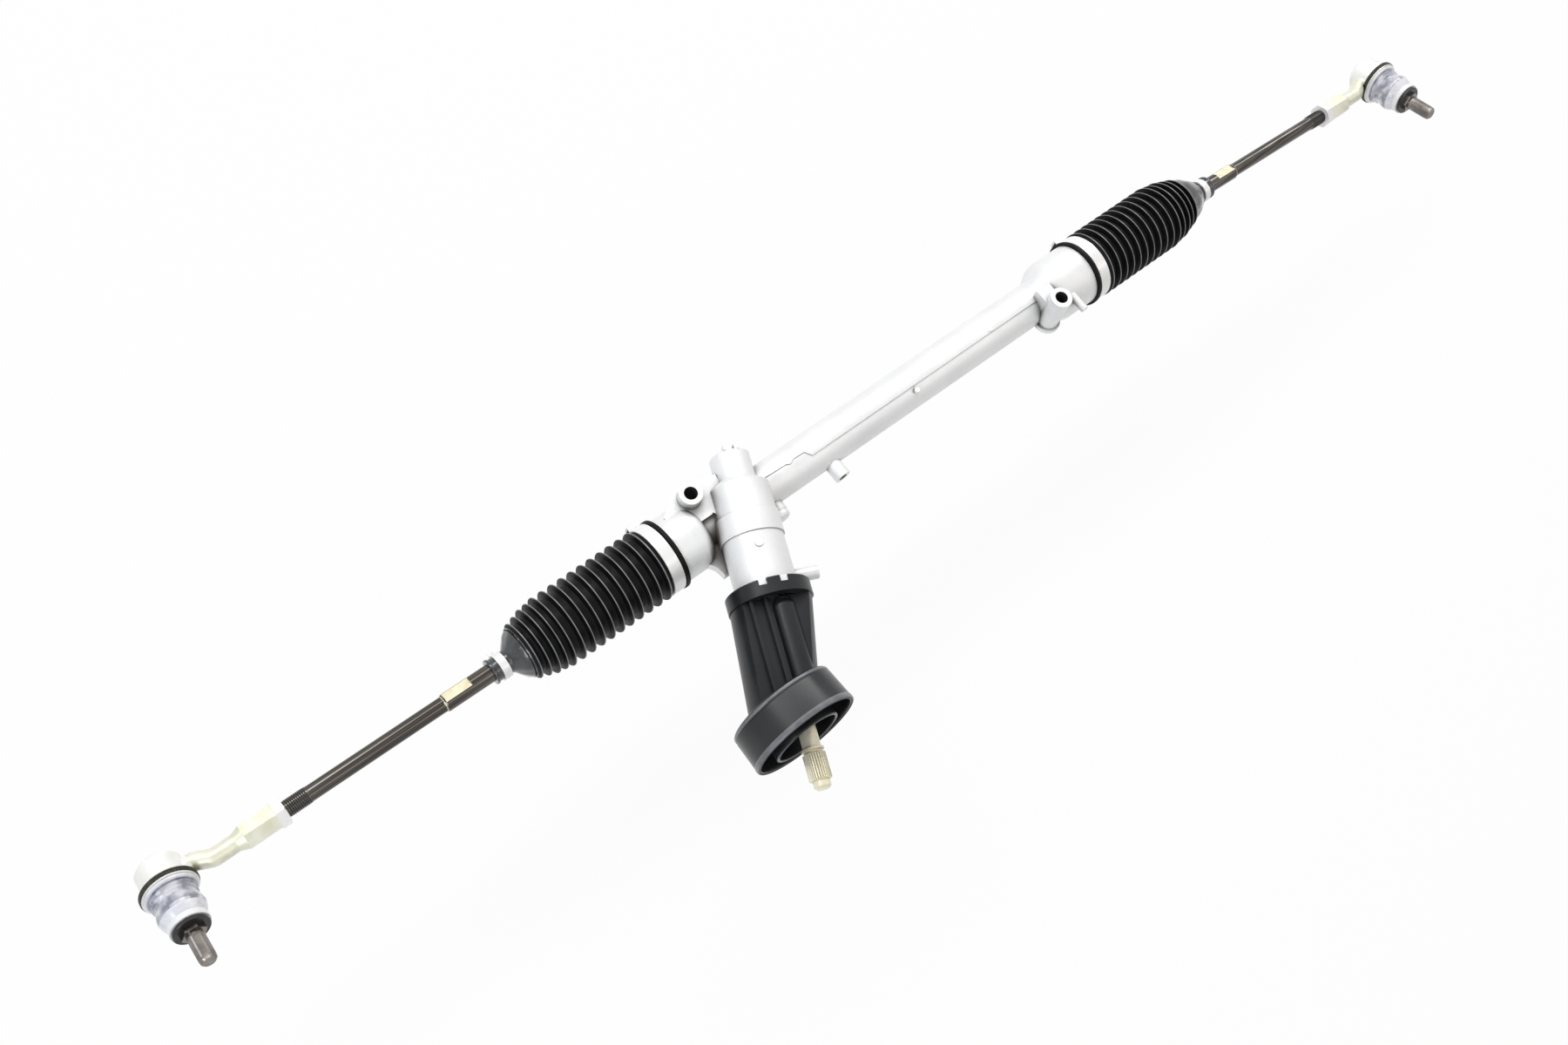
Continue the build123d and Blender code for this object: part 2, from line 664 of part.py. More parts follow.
with BuildPart() as rack_housing:
    # tube with its two collars
    with BuildSketch(axial_plane(rack_frame)) as left_collar:
        with BuildLine():
            collar_face = Line((-left_collar_inboard, 0), (-left_collar_inboard, collar_radius))
            shoulder = RadiusArc(
                (-left_collar_inboard, collar_radius),
                (-left_collar_inboard + left_collar_fillet, tube_radius),
                left_collar_fillet * 1.15,
            )
            Polyline(shoulder @ 1, (right_flare_start, tube_radius), (right_flare_start, 0), collar_face @ 0)
        make_face()
    revolve(left_collar.sketch, axis=Axis.X)
    turned(
        rack_frame,
        [
            (-cuff_seat_end, 0),
            (-cuff_seat_end, cuff_seat_radius),
            (-collar_outboard, cuff_seat_radius),
            (-collar_outboard, collar_radius),
            (-left_collar_inboard, collar_radius),
            (-left_collar_inboard, 0),
        ],
    )
    right_shift = collar_shift["right"]
    with BuildSketch(axial_plane(rack_frame)) as right_collar:
        with BuildLine():
            Line((right_flare_start - 1, 0), (right_flare_start - 1, tube_radius))
            Line((right_flare_start - 1, tube_radius), (right_flare_start, tube_radius))
            flare = Spline(
                (right_flare_start, tube_radius),
                (right_flare_end, collar_radius),
                tangents=((1, 0), (1, 0)),
            )
            Polyline(
                flare @ 1,
                (collar_outboard + right_shift, collar_radius),
                (collar_outboard + right_shift, cuff_seat_radius),
                (cuff_seat_end + right_shift, cuff_seat_radius),
                (cuff_seat_end + right_shift, 0),
                (right_flare_start - 1, 0),
            )
        make_face()
    revolve(right_collar.sketch, axis=Axis.X)
    add(rear_skin.part)
    # pinion housing with its nose
    turned(
        pinion_frame,
        [
            (nose_end, 0),
            (nose_end, nose_radius - 1.5),
            (nose_end + 1.5, nose_radius),
            (-12, nose_radius),
            (-6, pinion_housing_radius),
            (cover_grip_start, pinion_housing_radius),
            (cover_grip_start, cover_ring_radius - cover_wall - seat_gap),
            (cover_grip_start + 5, cover_ring_radius - cover_wall - seat_gap),
            (cover_grip_start + 5, pinion_housing_radius),
            (pinion_housing_end, pinion_housing_radius),
            (pinion_housing_end, 0),
        ],
    )
    turned(
        pinion_frame,
        [(bearing_start - 2, 0), (bearing_start - 2, 24.6), (retainer_end, 24.6), (retainer_end + 1, 0)],
    )
    # yoke boss
    rod(yoke_frame, yoke_boss_radius, yoke_boss_bottom, -5)
    # flange plate and gusset between the ear, the left collar and the pinion housing
    with BuildSketch(Plane.XY.offset(plate_bottom)) as plate:
        with BuildLine():
            Polyline(
                (-160, 10),
                (-174, plate_front - 14),
                (-178, plate_front),
                (-195, plate_front),
                (-198, plate_front - 2.5),
                (-211, plate_front - 2.5),
                (-211, 18),
                (-198, 28),
                (-176, 29),
                (-158, 24),
                (-160, 10),
            )
        make_face()
        fillet(plate.vertices().sort_by_distance((-178, plate_front, plate_bottom))[0], 3)
        fillet(plate.vertices().group_by(Axis.Y)[-1], 4)
    extrude(plate.sketch, amount=plate_top - plate_bottom)
    with BuildSketch(Plane.XY.offset(-4)) as gusset:
        with BuildLine():
            Polyline((-212, -10), (-212, -24), (-207, -24))
            Spline((-207, -24), (-199, -28), (-196, -40), tangents=((1, 0), (0, -1)))
            Polyline((-196, -40), (-170, -40), (-160, -10), (-212, -10))
        make_face()
    extrude(gusset.sketch, amount=8)
    # mounting ears
    for side in SIDES:
        ear = ear_frame(side)
        ear_x, ear_y = ear_places[side]
        rod(ear, ear_radius, ear_bottom, ear_tops[side])
        rod(ear, ear_radius + 2, ear_bottom, ear_bottom + 4)
        with BuildSketch(Plane.XY.offset(ear_bottom + 4)) as ear_web:
            with Locations((ear_x, ear_y / 2)):
                Rectangle(ear_radius * 2 - 4, abs(ear_y))
        extrude(ear_web.sketch, amount=ear_tops[side] - ear_bottom - 14)
    # bosses and pegs
    rod(front_at(cable_boss_x), cable_boss_radius, 0, cable_boss_end)
    rod(front_at(plug_boss_x, plug_boss_height), plug_boss_radius, 0, plug_boss_end)
    rod(front_at(end_peg_x, end_peg_height), end_peg_radius, 0, end_peg_end)
    rod(clip_peg_frame, clip_peg_radius, 0, clip_peg_end)
    nose_lug = pinion_frame.offset(nose_end)
    with BuildSketch(nose_lug) as prongs:
        with Locations((-4, nose_radius - 5), (4, nose_radius - 5)):
            Rectangle(3.5, 6)
    extrude(prongs.sketch, amount=-4)
    with BuildSketch(pinion_frame.offset(cover_grip_start - 3)) as cover_lugs:
        with Locations(*[(lug, lug_height) for lug in lug_sides]):
            Rectangle(lug_width - 2 * seat_gap, lug_depth)
    extrude(cover_lugs.sketch, amount=4.5)
    # ejector marks
    with BuildSketch(Plane.XY.offset(tube_radius - 5)) as ejector_marks:
        with Locations(*mark_places):
            Circle(mark_radius)
    extrude(ejector_marks.sketch, amount=5 + parting_step)
    tower_top = pinion_z + pinion_housing_radius
    with BuildSketch(Plane.XY.offset(tower_top - 4)) as tower_mark:
        with Locations(tower_mark_place):
            Circle(tower_mark_radius)
    extrude(tower_mark.sketch, amount=4 + parting_step)
    # bores, from the inside out
    rod(rack_frame, tube_bore_radius, -housing_half_length, housing_half_length + right_shift, Mode.SUBTRACT)
    rod(rack_frame, bush_radius, bush_start, bush_end, Mode.SUBTRACT)
    for side in SIDES:
        recess_start = housing_half_length + collar_shift[side]
        recess_end = cuff_seat_end + collar_shift[side]
        rod(side_frame(side), stop_recess_radius, recess_start, recess_end, Mode.SUBTRACT)
    rod(yoke_frame, yoke_radius + running_fit, yoke_boss_bottom, -2, Mode.SUBTRACT)
    rod(yoke_frame, yoke_plug_radius, yoke_boss_bottom, plug_top, Mode.SUBTRACT)
    rod(pinion_frame, needle_bearing_radius, needle_bearing_start, 0, Mode.SUBTRACT)
    rod(pinion_frame, gear_bore_radius, -gear_end - 1.5, bearing_start, Mode.SUBTRACT)
    rod(pinion_frame, bearing_radius, bearing_start, bearing_end, Mode.SUBTRACT)
    rod(pinion_frame, retainer_radius, bearing_end, retainer_end, Mode.SUBTRACT)
    rod(pinion_frame, seal_radius, retainer_end, upper_bore_start, Mode.SUBTRACT)
    rod(pinion_frame, upper_bore_radius, upper_bore_start, pinion_housing_end, Mode.SUBTRACT)
    for side in SIDES:
        rod(ear_frame(side), ear_hole_radius, ear_bottom, ear_tops[side], Mode.SUBTRACT)
    plug_frame = front_at(plug_boss_x, plug_boss_height)
    rod(plug_frame, side_plug_stem_radius, 17, plug_boss_end, Mode.SUBTRACT)
    rod(front_at(cable_boss_x), cable_boss_radius - 3, cable_boss_end - 9, cable_boss_end, Mode.SUBTRACT)
write(rack_housing, "rack_housing")

# ---------------------------------------------------------------- side plug
with BuildPart() as side_plug:
    rod(plug_frame, side_plug_stem_radius, 17.5, plug_boss_end)
    rod(plug_frame, side_plug_head_radius, plug_boss_end, plug_boss_end + side_plug_head_height)
    fillet(side_plug.edges().filter_by(GeomType.CIRCLE).sort_by(Axis.Y)[0], 3.4)
write(side_plug, "side_plug")

# ---------------------------------------------------------------- column cover
cover_mouth = -seal_depth + cover_neck_length
cover_top = Plane(origin=pinion_frame.origin, x_dir=(1, 0, 0), z_dir=(0, 0, 1))


def cover_body(growth):
    """Solid tower with a flat top, from the cover's ring to the dash seal, grown by a distance."""
    with BuildPart() as body:
        with BuildSketch(pinion_frame.offset(cover_ring_end - 1)):
            Circle(cover_top_radius + growth)
        with BuildSketch(seal_frame.offset(cover_mouth)):
            Circle(cover_neck_radius + growth)
        loft()
        split(bisect_by=cover_top.offset(cover_flat_height + growth), keep=Keep.BOTTOM)
    return body.part


def cover_bar(side_shift, height, radius, start, end_plane):
    """Round-ended bar along the shaft, cut off by a plane."""
    centre = pinion_frame.from_local_coords((side_shift, height, 0))
    frame = Plane(origin=centre, x_dir=pinion_frame.x_dir, z_dir=pinion_frame.z_dir)
    with BuildPart() as bar:
        rod(frame, radius, start, spline_start)
        ball(frame.offset(start), radius)
        split(bisect_by=end_plane, keep=Keep.BOTTOM)
    return bar.part


with BuildPart() as cover_ribs:
    with BuildSketch(pinion_frame.offset(cover_ring_end)) as ribs:
        with Locations(*[(rib, cover_top_radius / 2) for rib in cover_rib_sides]):
            Rectangle(cover_rib_width, cover_top_radius)
    extrude(ribs.sketch, amount=spline_start - cover_ring_end)
    add(cover_body(cover_rib_height), mode=Mode.INTERSECT)
    split(bisect_by=seal_frame.offset(-seal_depth - seat_gap), keep=Keep.BOTTOM)

with BuildPart() as column_cover:
    turned(
        pinion_frame,
        [
            (cover_ring_start, pinion_housing_radius + seat_gap),
            (cover_ring_start, cover_ring_radius - 0.8),
            (cover_ring_start + 0.8, cover_ring_radius),
            (cover_ring_end, cover_ring_radius),
            (cover_ring_end, cover_ring_radius - cover_wall),
            (cover_ring_start + cover_wall, cover_ring_radius - cover_wall),
            (cover_ring_start + cover_wall, pinion_housing_radius + seat_gap),
        ],
    )
    rod(pinion_frame, cover_ring_radius - 0.5, cover_ring_end - cover_wall, cover_ring_end)
    add(cover_body(0))
    add(cover_ribs.part)
    behind_seal = seal_frame.offset(-seal_depth - seat_gap)
    add(cover_bar(flute_side, flute_height, flute_radius, flute_start, behind_seal))
    add(cover_bar(0, 0, cover_tunnel_radius, cover_ring_end + 20, seal_frame.offset(cover_mouth)))
    rod(seal_frame, cover_neck_radius, -seal_depth - 1, cover_mouth)
    rod(seal_frame, cover_flange_radius, cover_mouth, cover_mouth + cover_flange_thickness)
    add(cover_body(-cover_wall), mode=Mode.SUBTRACT)
    rod(
        pinion_frame,
        cover_ring_radius - 2 * cover_wall,
        cover_ring_start + cover_wall,
        cover_ring_end - cover_wall,
        Mode.SUBTRACT,
    )
    housing_clearance = pinion_housing_radius + seat_gap
    rod(pinion_frame, housing_clearance, cover_ring_start, cover_ring_end, Mode.SUBTRACT)
    rod(pinion_frame, cover_tunnel_radius - cover_wall, cover_ring_end, spline_start, Mode.SUBTRACT)
    with BuildSketch(pinion_frame.offset(cover_ring_start)) as lug_notches:
        with Locations(*[(lug, lug_height + lug_depth / 2) for lug in lug_sides]):
            Rectangle(lug_width, 2 * lug_depth)
    extrude(lug_notches.sketch, amount=lug_notch_depth, mode=Mode.SUBTRACT)
write(column_cover, "column_cover")

# ---------------------------------------------------------------- dash seal
with BuildPart() as dash_seal:
    seal_bore = cover_neck_radius + seat_gap
    floor_back = cover_mouth + cover_flange_thickness + seat_gap
    sleeve_bore = seal_sleeve_radius - seal_sleeve_wall
    turned(
        seal_frame,
        [
            (-seal_depth, seal_bore),
            (-seal_depth, seal_back_radius - 2),
            (-seal_depth + 2, seal_back_radius),
            (-3, seal_rim_radius - 0.8),
            (-1.5, seal_rim_radius),
            (0, seal_rim_radius - 0.8),
            (0, seal_rim_radius - seal_wall),
            (-seal_floor + 3, seal_rim_radius - seal_wall - 0.8),
            (-seal_floor, seal_rim_radius - seal_wall - 3.8),
            (-seal_floor, seal_sleeve_radius + 2),
            (-seal_floor + 2, seal_sleeve_radius),
            (seal_sleeve_reach - 0.6, seal_sleeve_radius),
            (seal_sleeve_reach, seal_sleeve_radius - 0.6),
            (seal_sleeve_reach, sleeve_bore),
            (floor_back, sleeve_bore),
            (floor_back, seal_flange_room),
            (cover_mouth, seal_flange_room),
            (cover_mouth, seal_bore),
        ],
    )
    add(cover_body(seat_gap), mode=Mode.SUBTRACT)
    tunnel_clearance = cover_tunnel_radius + seat_gap
    add(cover_bar(0, 0, tunnel_clearance, cover_ring_end + 20, seal_frame), mode=Mode.SUBTRACT)
write(dash_seal, "dash_seal")


# ---------------------------------------------------------------- bellows and clamps
def ridges_of(side):
    """Ridges of a bellows as (station, radius), from its cuff to its neck."""
    ridges = [(first_ridge[side] + i * ridge_pitch[side], ridge_radius) for i in range(ridge_count)]
    last = ridges[-1][0]
    return ridges + [(last + (i + 1) * end_ridge_pitch[side], r) for i, r in enumerate(end_ridge_radii)]


def bellows_outline(side):
    """Outer corners of the bellows as (station, radius), from the cuff to the last ridge."""
    start = bellows_start + collar_shift[side]
    corners = [
        (start, bellows_lip_radius),
        (start + 3, bellows_lip_radius),
        (start + 3.5, bellows_cuff_radius),
        (first_ridge[side] - ridge_pitch[side] / 4, bellows_cuff_radius),
    ]
    previous = None
    for place, radius in ridges_of(side):
        if previous:
            valley = (previous[0] + place) / 2
            depth = min(previous[1], radius) - ridge_depth
            corners.append((valley, depth))
        corners.append((place - ridge_flat / 2, radius))
        corners.append((place + ridge_flat / 2, radius))
        previous = (place, radius)
    return corners


def add_bellows(side):
    """One bellows: ridged on the rack axis, with its neck on the tie rod."""
    frame = side_frame(side)
    neck = rod_frame(side)
    start = bellows_start + collar_shift[side]
    corners = bellows_outline(side)
    last_ridge = corners[-1][0]
    last_wide_ridge = ridges_of(side)[ridge_count - 1][0]
    dome_end = neck_start[side] - inner_ball_x
    neck_end = dome_end + neck_length
    with BuildPart() as bellows:
        end_corners = [(last_ridge + 3, end_ridge_radii[-1] - 3.5), (last_ridge + 3, 0)]
        turned(frame, [(start, 0), *corners, *end_corners])
        turned(
            neck,
            [
                (last_ridge - 6 - inner_ball_x, 0),
                (last_ridge - 6 - inner_ball_x, end_ridge_radii[-1] - 4),
                (last_ridge + 3 - inner_ball_x, end_ridge_radii[-1] - 4),
                (dome_end - 2, neck_radius + 4),
                (dome_end, neck_radius + 1),
                (dome_end + 2, neck_radius),
                (neck_end, neck_radius),
                (neck_end, 0),
            ],
        )
        inside = ridge_radius - ridge_depth - bellows_wall
        taper_end = end_ridge_radii[-1] - ridge_depth - 2 * bellows_wall
        turned(
            frame,
            [
                (start, 0),
                (start, cuff_seat_radius),
                (cuff_seat_end + collar_shift[side] + seat_gap, cuff_seat_radius),
                (cuff_seat_end + collar_shift[side] + 2, inside),
                (last_wide_ridge, inside),
                (last_ridge - 3, taper_end),
                (last_ridge - 3, 0),
            ],
            Mode.SUBTRACT,
        )
        rod_hole = rod_neck_radius + running_fit
        turned(
            neck,
            [
                (last_ridge - 4 - inner_ball_x, 0),
                (last_ridge - 4 - inner_ball_x, taper_end - 0.5),
                (dome_end - 2, rod_hole + 2),
                (dome_end, rod_hole),
                (neck_end, rod_hole),
                (neck_end, 0),
            ],
            Mode.SUBTRACT,
        )
    write(bellows, f"bellows_{side}")


def add_clamps(side):
    """Band clamp on the bellows' cuff and spring clamp on its neck."""
    frame = side_frame(side)
    band_start = large_clamp_start + collar_shift[side]
    ear_height = bellows_cuff_radius + clamp_thickness + clamp_ear_height
    with BuildPart() as large_clamp:
        band = bellows_cuff_radius + clamp_thickness
        tube(frame, band, bellows_cuff_radius, band_start, band_start + large_clamp_width)
        with BuildSketch(frame.offset(band_start + 1)) as crimp_ear:
            with Locations((-ear_height + clamp_ear_height / 2, 0)):
                Rectangle(clamp_ear_height + 0.6, clamp_ear_width)
            fillet(crimp_ear.vertices().group_by(Axis.X)[0], 1.2)
            with Locations((-ear_height + clamp_ear_height / 2 + 0.8, 0)):
                Rectangle(clamp_ear_height - 1.2, clamp_ear_width - 2 * clamp_thickness, mode=Mode.SUBTRACT)
        extrude(crimp_ear.sketch, amount=large_clamp_width - 2)
    write(large_clamp, f"large_clamp_{side}")
    neck = rod_frame(side)
    clamp_bore = neck_radius + 0.1
    clamp_start = neck_start[side] + small_clamp_inset - inner_ball_x
    with BuildPart() as small_clamp:
        tube(neck, clamp_bore + clamp_thickness, clamp_bore, clamp_start, clamp_start + small_clamp_width)
        for height in (-1, 1):
            with BuildSketch(neck.offset(clamp_start + small_clamp_width / 2 + height * 1.6)) as tang:
                with Locations((-clamp_bore - 3.5, height * 2.2)):
                    Rectangle(6, clamp_thickness)
            extrude(tang.sketch, amount=1.2, both=True)
    write(small_clamp, f"small_clamp_{side}")


# ---------------------------------------------------------------- inner joints and tie rods
def swing_cone(neck, swing, reach):
    """Corners of the cone that a round neck sweeps when it swings about its ball."""
    angle = math.radians(swing)
    near = neck / math.cos(angle) + seat_gap
    return [(0, 0), (0, near), (reach, near + reach * math.tan(angle)), (reach, 0)]


def add_seat(name, frame, radius, outer_radius, back, lip):
    """Ball seat: a spherical shell between two planes."""
    with BuildPart() as seat:
        ball(frame, outer_radius)
        ball(frame, radius + running_fit, Mode.SUBTRACT)
        rod(frame, outer_radius + 1, lip, outer_radius + 1, Mode.SUBTRACT)
        rod(frame, outer_radius + 1, -outer_radius - 1, back, Mode.SUBTRACT)
    write(seat, name)


def add_inner_socket(side):
    """Ball housing screwed into the end of the rack."""
    frame = side_frame(side)
    at_ball = frame.offset(inner_ball_x)
    cavity = inner_ball_radius + seat_thickness + 2 * running_fit
    face = socket_inboard - inner_ball_x
    mouth = inner_mouth_x - inner_ball_x
    with BuildPart() as socket:
        turned(
            at_ball,
            [
                (face - rack_thread_length, 0),
                (face - rack_thread_length, rack_thread_radius - 1),
                (face - rack_thread_length + 1, rack_thread_radius),
                (face, rack_thread_radius),
                (face, inner_socket_radius - 1),
                (face + 1, inner_socket_radius),
                (mouth - 5, inner_socket_radius),
                (mouth, inner_socket_radius - 3.5),
                (mouth, 0),
            ],
        )
        with BuildSketch(at_ball.offset(face + 3)) as spanner_flats:
            Circle(inner_socket_radius + 1)
            Rectangle(2 * inner_socket_radius - 4, 3 * inner_socket_radius, mode=Mode.SUBTRACT)
        extrude(spanner_flats.sketch, amount=8, mode=Mode.SUBTRACT)
        ball(at_ball, cavity, Mode.SUBTRACT)
        turned(at_ball, swing_cone(rod_neck_radius, inner_swing, mouth + 1), Mode.SUBTRACT)
    write(socket, f"inner_socket_{side}")


def add_tie_rod(side):
    """Tie rod with its inner ball, spanner flats and threaded end."""
    frame = rod_frame(side)
    thread_start = station(side, rod_thread_start)
    thread_end = station(side, rod_thread_end)
    with BuildPart() as tie_rod:
        turned(
            frame,
            [
                (0, 0),
                (0, rod_neck_radius + 1),
                (inner_ball_radius + 2, rod_neck_radius),
                (rod_flats_end, rod_neck_radius),
                (rod_flats_end + 2, rod_shank_radius),
                (thread_start, rod_shank_radius),
                (thread_start + 0.5, rod_thread_radius),
                (thread_end - 1, rod_thread_radius),
                (thread_end, rod_thread_radius - 1),
                (thread_end, 0),
            ],
        )
        ball(frame, inner_ball_radius)
        with BuildSketch(frame.offset(rod_flats_start)) as flats:
            Circle(rod_neck_radius + 1)
            Rectangle(3 * rod_neck_radius, rod_flats_width, mode=Mode.SUBTRACT)
        extrude(flats.sketch, amount=rod_flats_end - rod_flats_start, mode=Mode.SUBTRACT)
    write(tie_rod, f"tie_rod_{side}")


def add_jam_nut(side):
    """Thin nut that locks the rod end on the tie rod."""
    frame = rod_frame(side)
    start = station(side, jam_nut_start)
    with BuildPart() as jam_nut:
        hexagon(frame, jam_nut_width, start, start + jam_nut_thickness)
        corner = jam_nut_width / math.sqrt(3)
        turned(
            frame,
            [
                (start, 0),
                (start, corner - 1),
                (start + 0.8, corner + 0.1),
                (start + jam_nut_thickness - 0.8, corner + 0.1),
                (start + jam_nut_thickness, corner - 1),
                (start + jam_nut_thickness, 0),
            ],
            Mode.INTERSECT,
        )
        rod(frame, rod_thread_radius, start, start + jam_nut_thickness, Mode.SUBTRACT)
    write(jam_nut, f"jam_nut_{side}")


# ---------------------------------------------------------------- rod ends
def add_rod_end(side):
    """Forged rod end: hexagonal sleeve, joggled arm and ball socket."""
    frame = rod_frame(side)
    at_ball = stud_frame(side)
    sleeve_start = station(side, jam_nut_start) + jam_nut_thickness
    sleeve_end = sleeve_start + sleeve_length
    bend_start = sleeve_end + arm_straight
    ball_place = station(side, outer_ball_station)
    cavity = outer_ball_radius + seat_thickness + 2 * running_fit
    clip_end = socket_rim_end - clip_wire_radius
    clip_start = clip_end - 4 * clip_wire_radius
    with BuildPart() as rod_end:
        hexagon(frame, sleeve_width, sleeve_start, sleeve_end)
        turned(
            frame,
            [
                (sleeve_end - 1, 0),
                (sleeve_end - 1, sleeve_width / 2),
                (sleeve_end, sleeve_width / 2),
                (sleeve_end + 6, arm_radius),
                (sleeve_end + 6, 0),
            ],
        )
        with BuildLine(axial_plane(frame)) as arm_path:
            FilletPolyline(
                (sleeve_end, 0),
                (bend_start, 0),
                (bend_start + arm_joggle_length, -arm_joggle),
                (ball_place - socket_radius + 6, -arm_joggle),
                radius=7,
            )
        with BuildSketch(frame.offset(sleeve_end)) as arm_section:
            Circle(arm_radius)
        sweep(arm_section.sketch, path=arm_path.wire())
        turned(
            at_ball,
            [
                (socket_bottom, 0),
                (socket_bottom, socket_radius - 2.5),
                (socket_bottom + 2.5, socket_radius),
                (socket_rim_start - 2, socket_radius),
                (socket_rim_start, socket_rim_radius),
                (socket_rim_end, socket_rim_radius),
                (socket_rim_end, 0),
            ],
        )
        turned(
            at_ball,
            [
                (clip_start - 0.1, socket_rim_radius - 1),
                (clip_start - 0.1, socket_rim_radius + 2),
                (clip_end + 0.1, socket_rim_radius + 2),
                (clip_end + 0.1, socket_rim_radius - 1),
            ],
            Mode.SUBTRACT,
        )
        cap_start = socket_bottom + 0.8
        rod(at_ball, cavity, cap_start + cap_thickness, 0, Mode.SUBTRACT)
        ball(at_ball, cavity, Mode.SUBTRACT)
        rod(at_ball, cap_radius, cap_start, cap_start + cap_thickness, Mode.SUBTRACT)
        rod(at_ball, cap_radius - 1.4, socket_bottom - 1, cap_start, Mode.SUBTRACT)
        turned(at_ball, swing_cone(stud_neck_radius, outer_swing, socket_rim_end + 1), Mode.SUBTRACT)
        rod(frame, rod_thread_radius, sleeve_start, station(side, rod_thread_end) + 1, Mode.SUBTRACT)
    write(rod_end, f"rod_end_{side}")
    with BuildPart() as cap:
        rod(at_ball, cap_radius, cap_start, cap_start + cap_thickness)
        rod(at_ball, cap_radius - 5, cap_start - 0.1, cap_start + 0.7, Mode.SUBTRACT)
    write(cap, f"rod_end_cap_{side}")
    with BuildPart() as boot_clip:
        wire_place = socket_rim_radius - 1 + running_fit + clip_wire_radius
        with BuildSketch(axial_plane(at_ball)) as wires:
            with Locations(((clip_start + clip_end) / 2, wire_place)):
                Rectangle(2 * clip_wire_radius, clip_wire_radius)
                with Locations((-clip_wire_radius, 0), (clip_wire_radius, 0)):
                    Circle(clip_wire_radius)
        revolve(wires.sketch, axis=Axis(at_ball.origin, at_ball.z_dir))
    write(boot_clip, f"boot_clip_{side}")


# ---------------------------------------------------------------- boots and ball studs
def add_boot(side):
    """Dust boot between the socket's rim and the stud."""
    frame = stud_frame(side)
    start = socket_rim_end + 0.05
    with BuildPart() as boot:
        turned(
            frame,
            [
                (start, boot_flare_radius),
                (start + 1.6, boot_flare_radius),
                (start + 5, boot_waist_radius + 1.6),
                (start + 8, boot_waist_radius + 1.2),
                (start + 10, boot_waist_radius),
                (start + 13, boot_waist_radius + 1.4),
                (start + 19, boot_bulge_radius - 0.6),
                (start + 23, boot_bulge_radius - 1.4),
                (boot_end - 5, boot_lip_radius),
                (boot_end, boot_lip_radius),
                (boot_end, boot_lip_radius - 5.2),
                (boot_end - 5, boot_lip_radius - boot_wall),
                (start + 22, boot_bulge_radius - 2 * boot_wall),
                (start + 10, boot_waist_radius - boot_wall),
                (start + 5, boot_waist_radius - 0.4),
                (start, boot_flare_radius - 2 * boot_wall),
            ],
        )
        rod(frame, stud_taper_radius + running_fit, start, boot_end, Mode.SUBTRACT)
    write(boot, f"dust_boot_{side}")
    with BuildPart() as boot_ring:
        tube(frame, boot_ring_radius, boot_lip_radius + running_fit, boot_end - boot_ring_width, boot_end)
    write(boot_ring, f"boot_ring_{side}")


def add_ball_stud(side):
    """Ball stud with its hexagon and threaded end, and the washer under the boot."""
    frame = stud_frame(side)
    washer_end = boot_end + seat_gap + washer_thickness
    hex_end = washer_end + stud_hex_thickness
    with BuildPart() as ball_stud:
        turned(
            frame,
            [
                (0, 0),
                (0, stud_neck_radius),
                (outer_ball_radius + 3, stud_neck_radius),
                (outer_ball_radius + 8, stud_taper_radius),
                (washer_end, stud_taper_radius),
                (hex_end, stud_taper_radius),
                (hex_end, stud_thread_radius),
                (stud_end - 1.2, stud_thread_radius),
                (stud_end, stud_thread_radius - 1.2),
                (stud_end, 0),
            ],
        )
        ball(frame, outer_ball_radius)
        rod(frame, outer_ball_radius, -outer_ball_radius, -outer_ball_radius + 1.5, Mode.SUBTRACT)
        hexagon(frame, stud_hex_width, washer_end, hex_end)
    write(ball_stud, f"ball_stud_{side}")
    with BuildPart() as boot_washer:
        tube(frame, washer_radius, stud_taper_radius, boot_end + seat_gap, washer_end)
        chamfer(boot_washer.edges().filter_by(GeomType.CIRCLE).group_by(SortBy.RADIUS)[-1], 0.5)
    write(boot_washer, f"boot_washer_{side}")


for side in SIDES:
    add_bellows(side)
    add_clamps(side)
    add_inner_socket(side)
    add_tie_rod(side)
    add_jam_nut(side)
    add_rod_end(side)
    add_boot(side)
    add_ball_stud(side)
    inner_centre = rod_frame(side)
    outer_centre = stud_frame(side)
    inner_seat_radius = inner_ball_radius + running_fit + seat_thickness
    outer_seat_radius = outer_ball_radius + running_fit + seat_thickness
    add_seat(f"inner_seat_{side}", inner_centre, inner_ball_radius, inner_seat_radius, -11.5, inner_seat_lip)
    add_seat(f"outer_seat_{side}", outer_centre, outer_ball_radius, outer_seat_radius, -7.5, outer_seat_lip)
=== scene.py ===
import json
import math
from collections import namedtuple

import bmesh
import bpy
from mathutils import Matrix, Vector

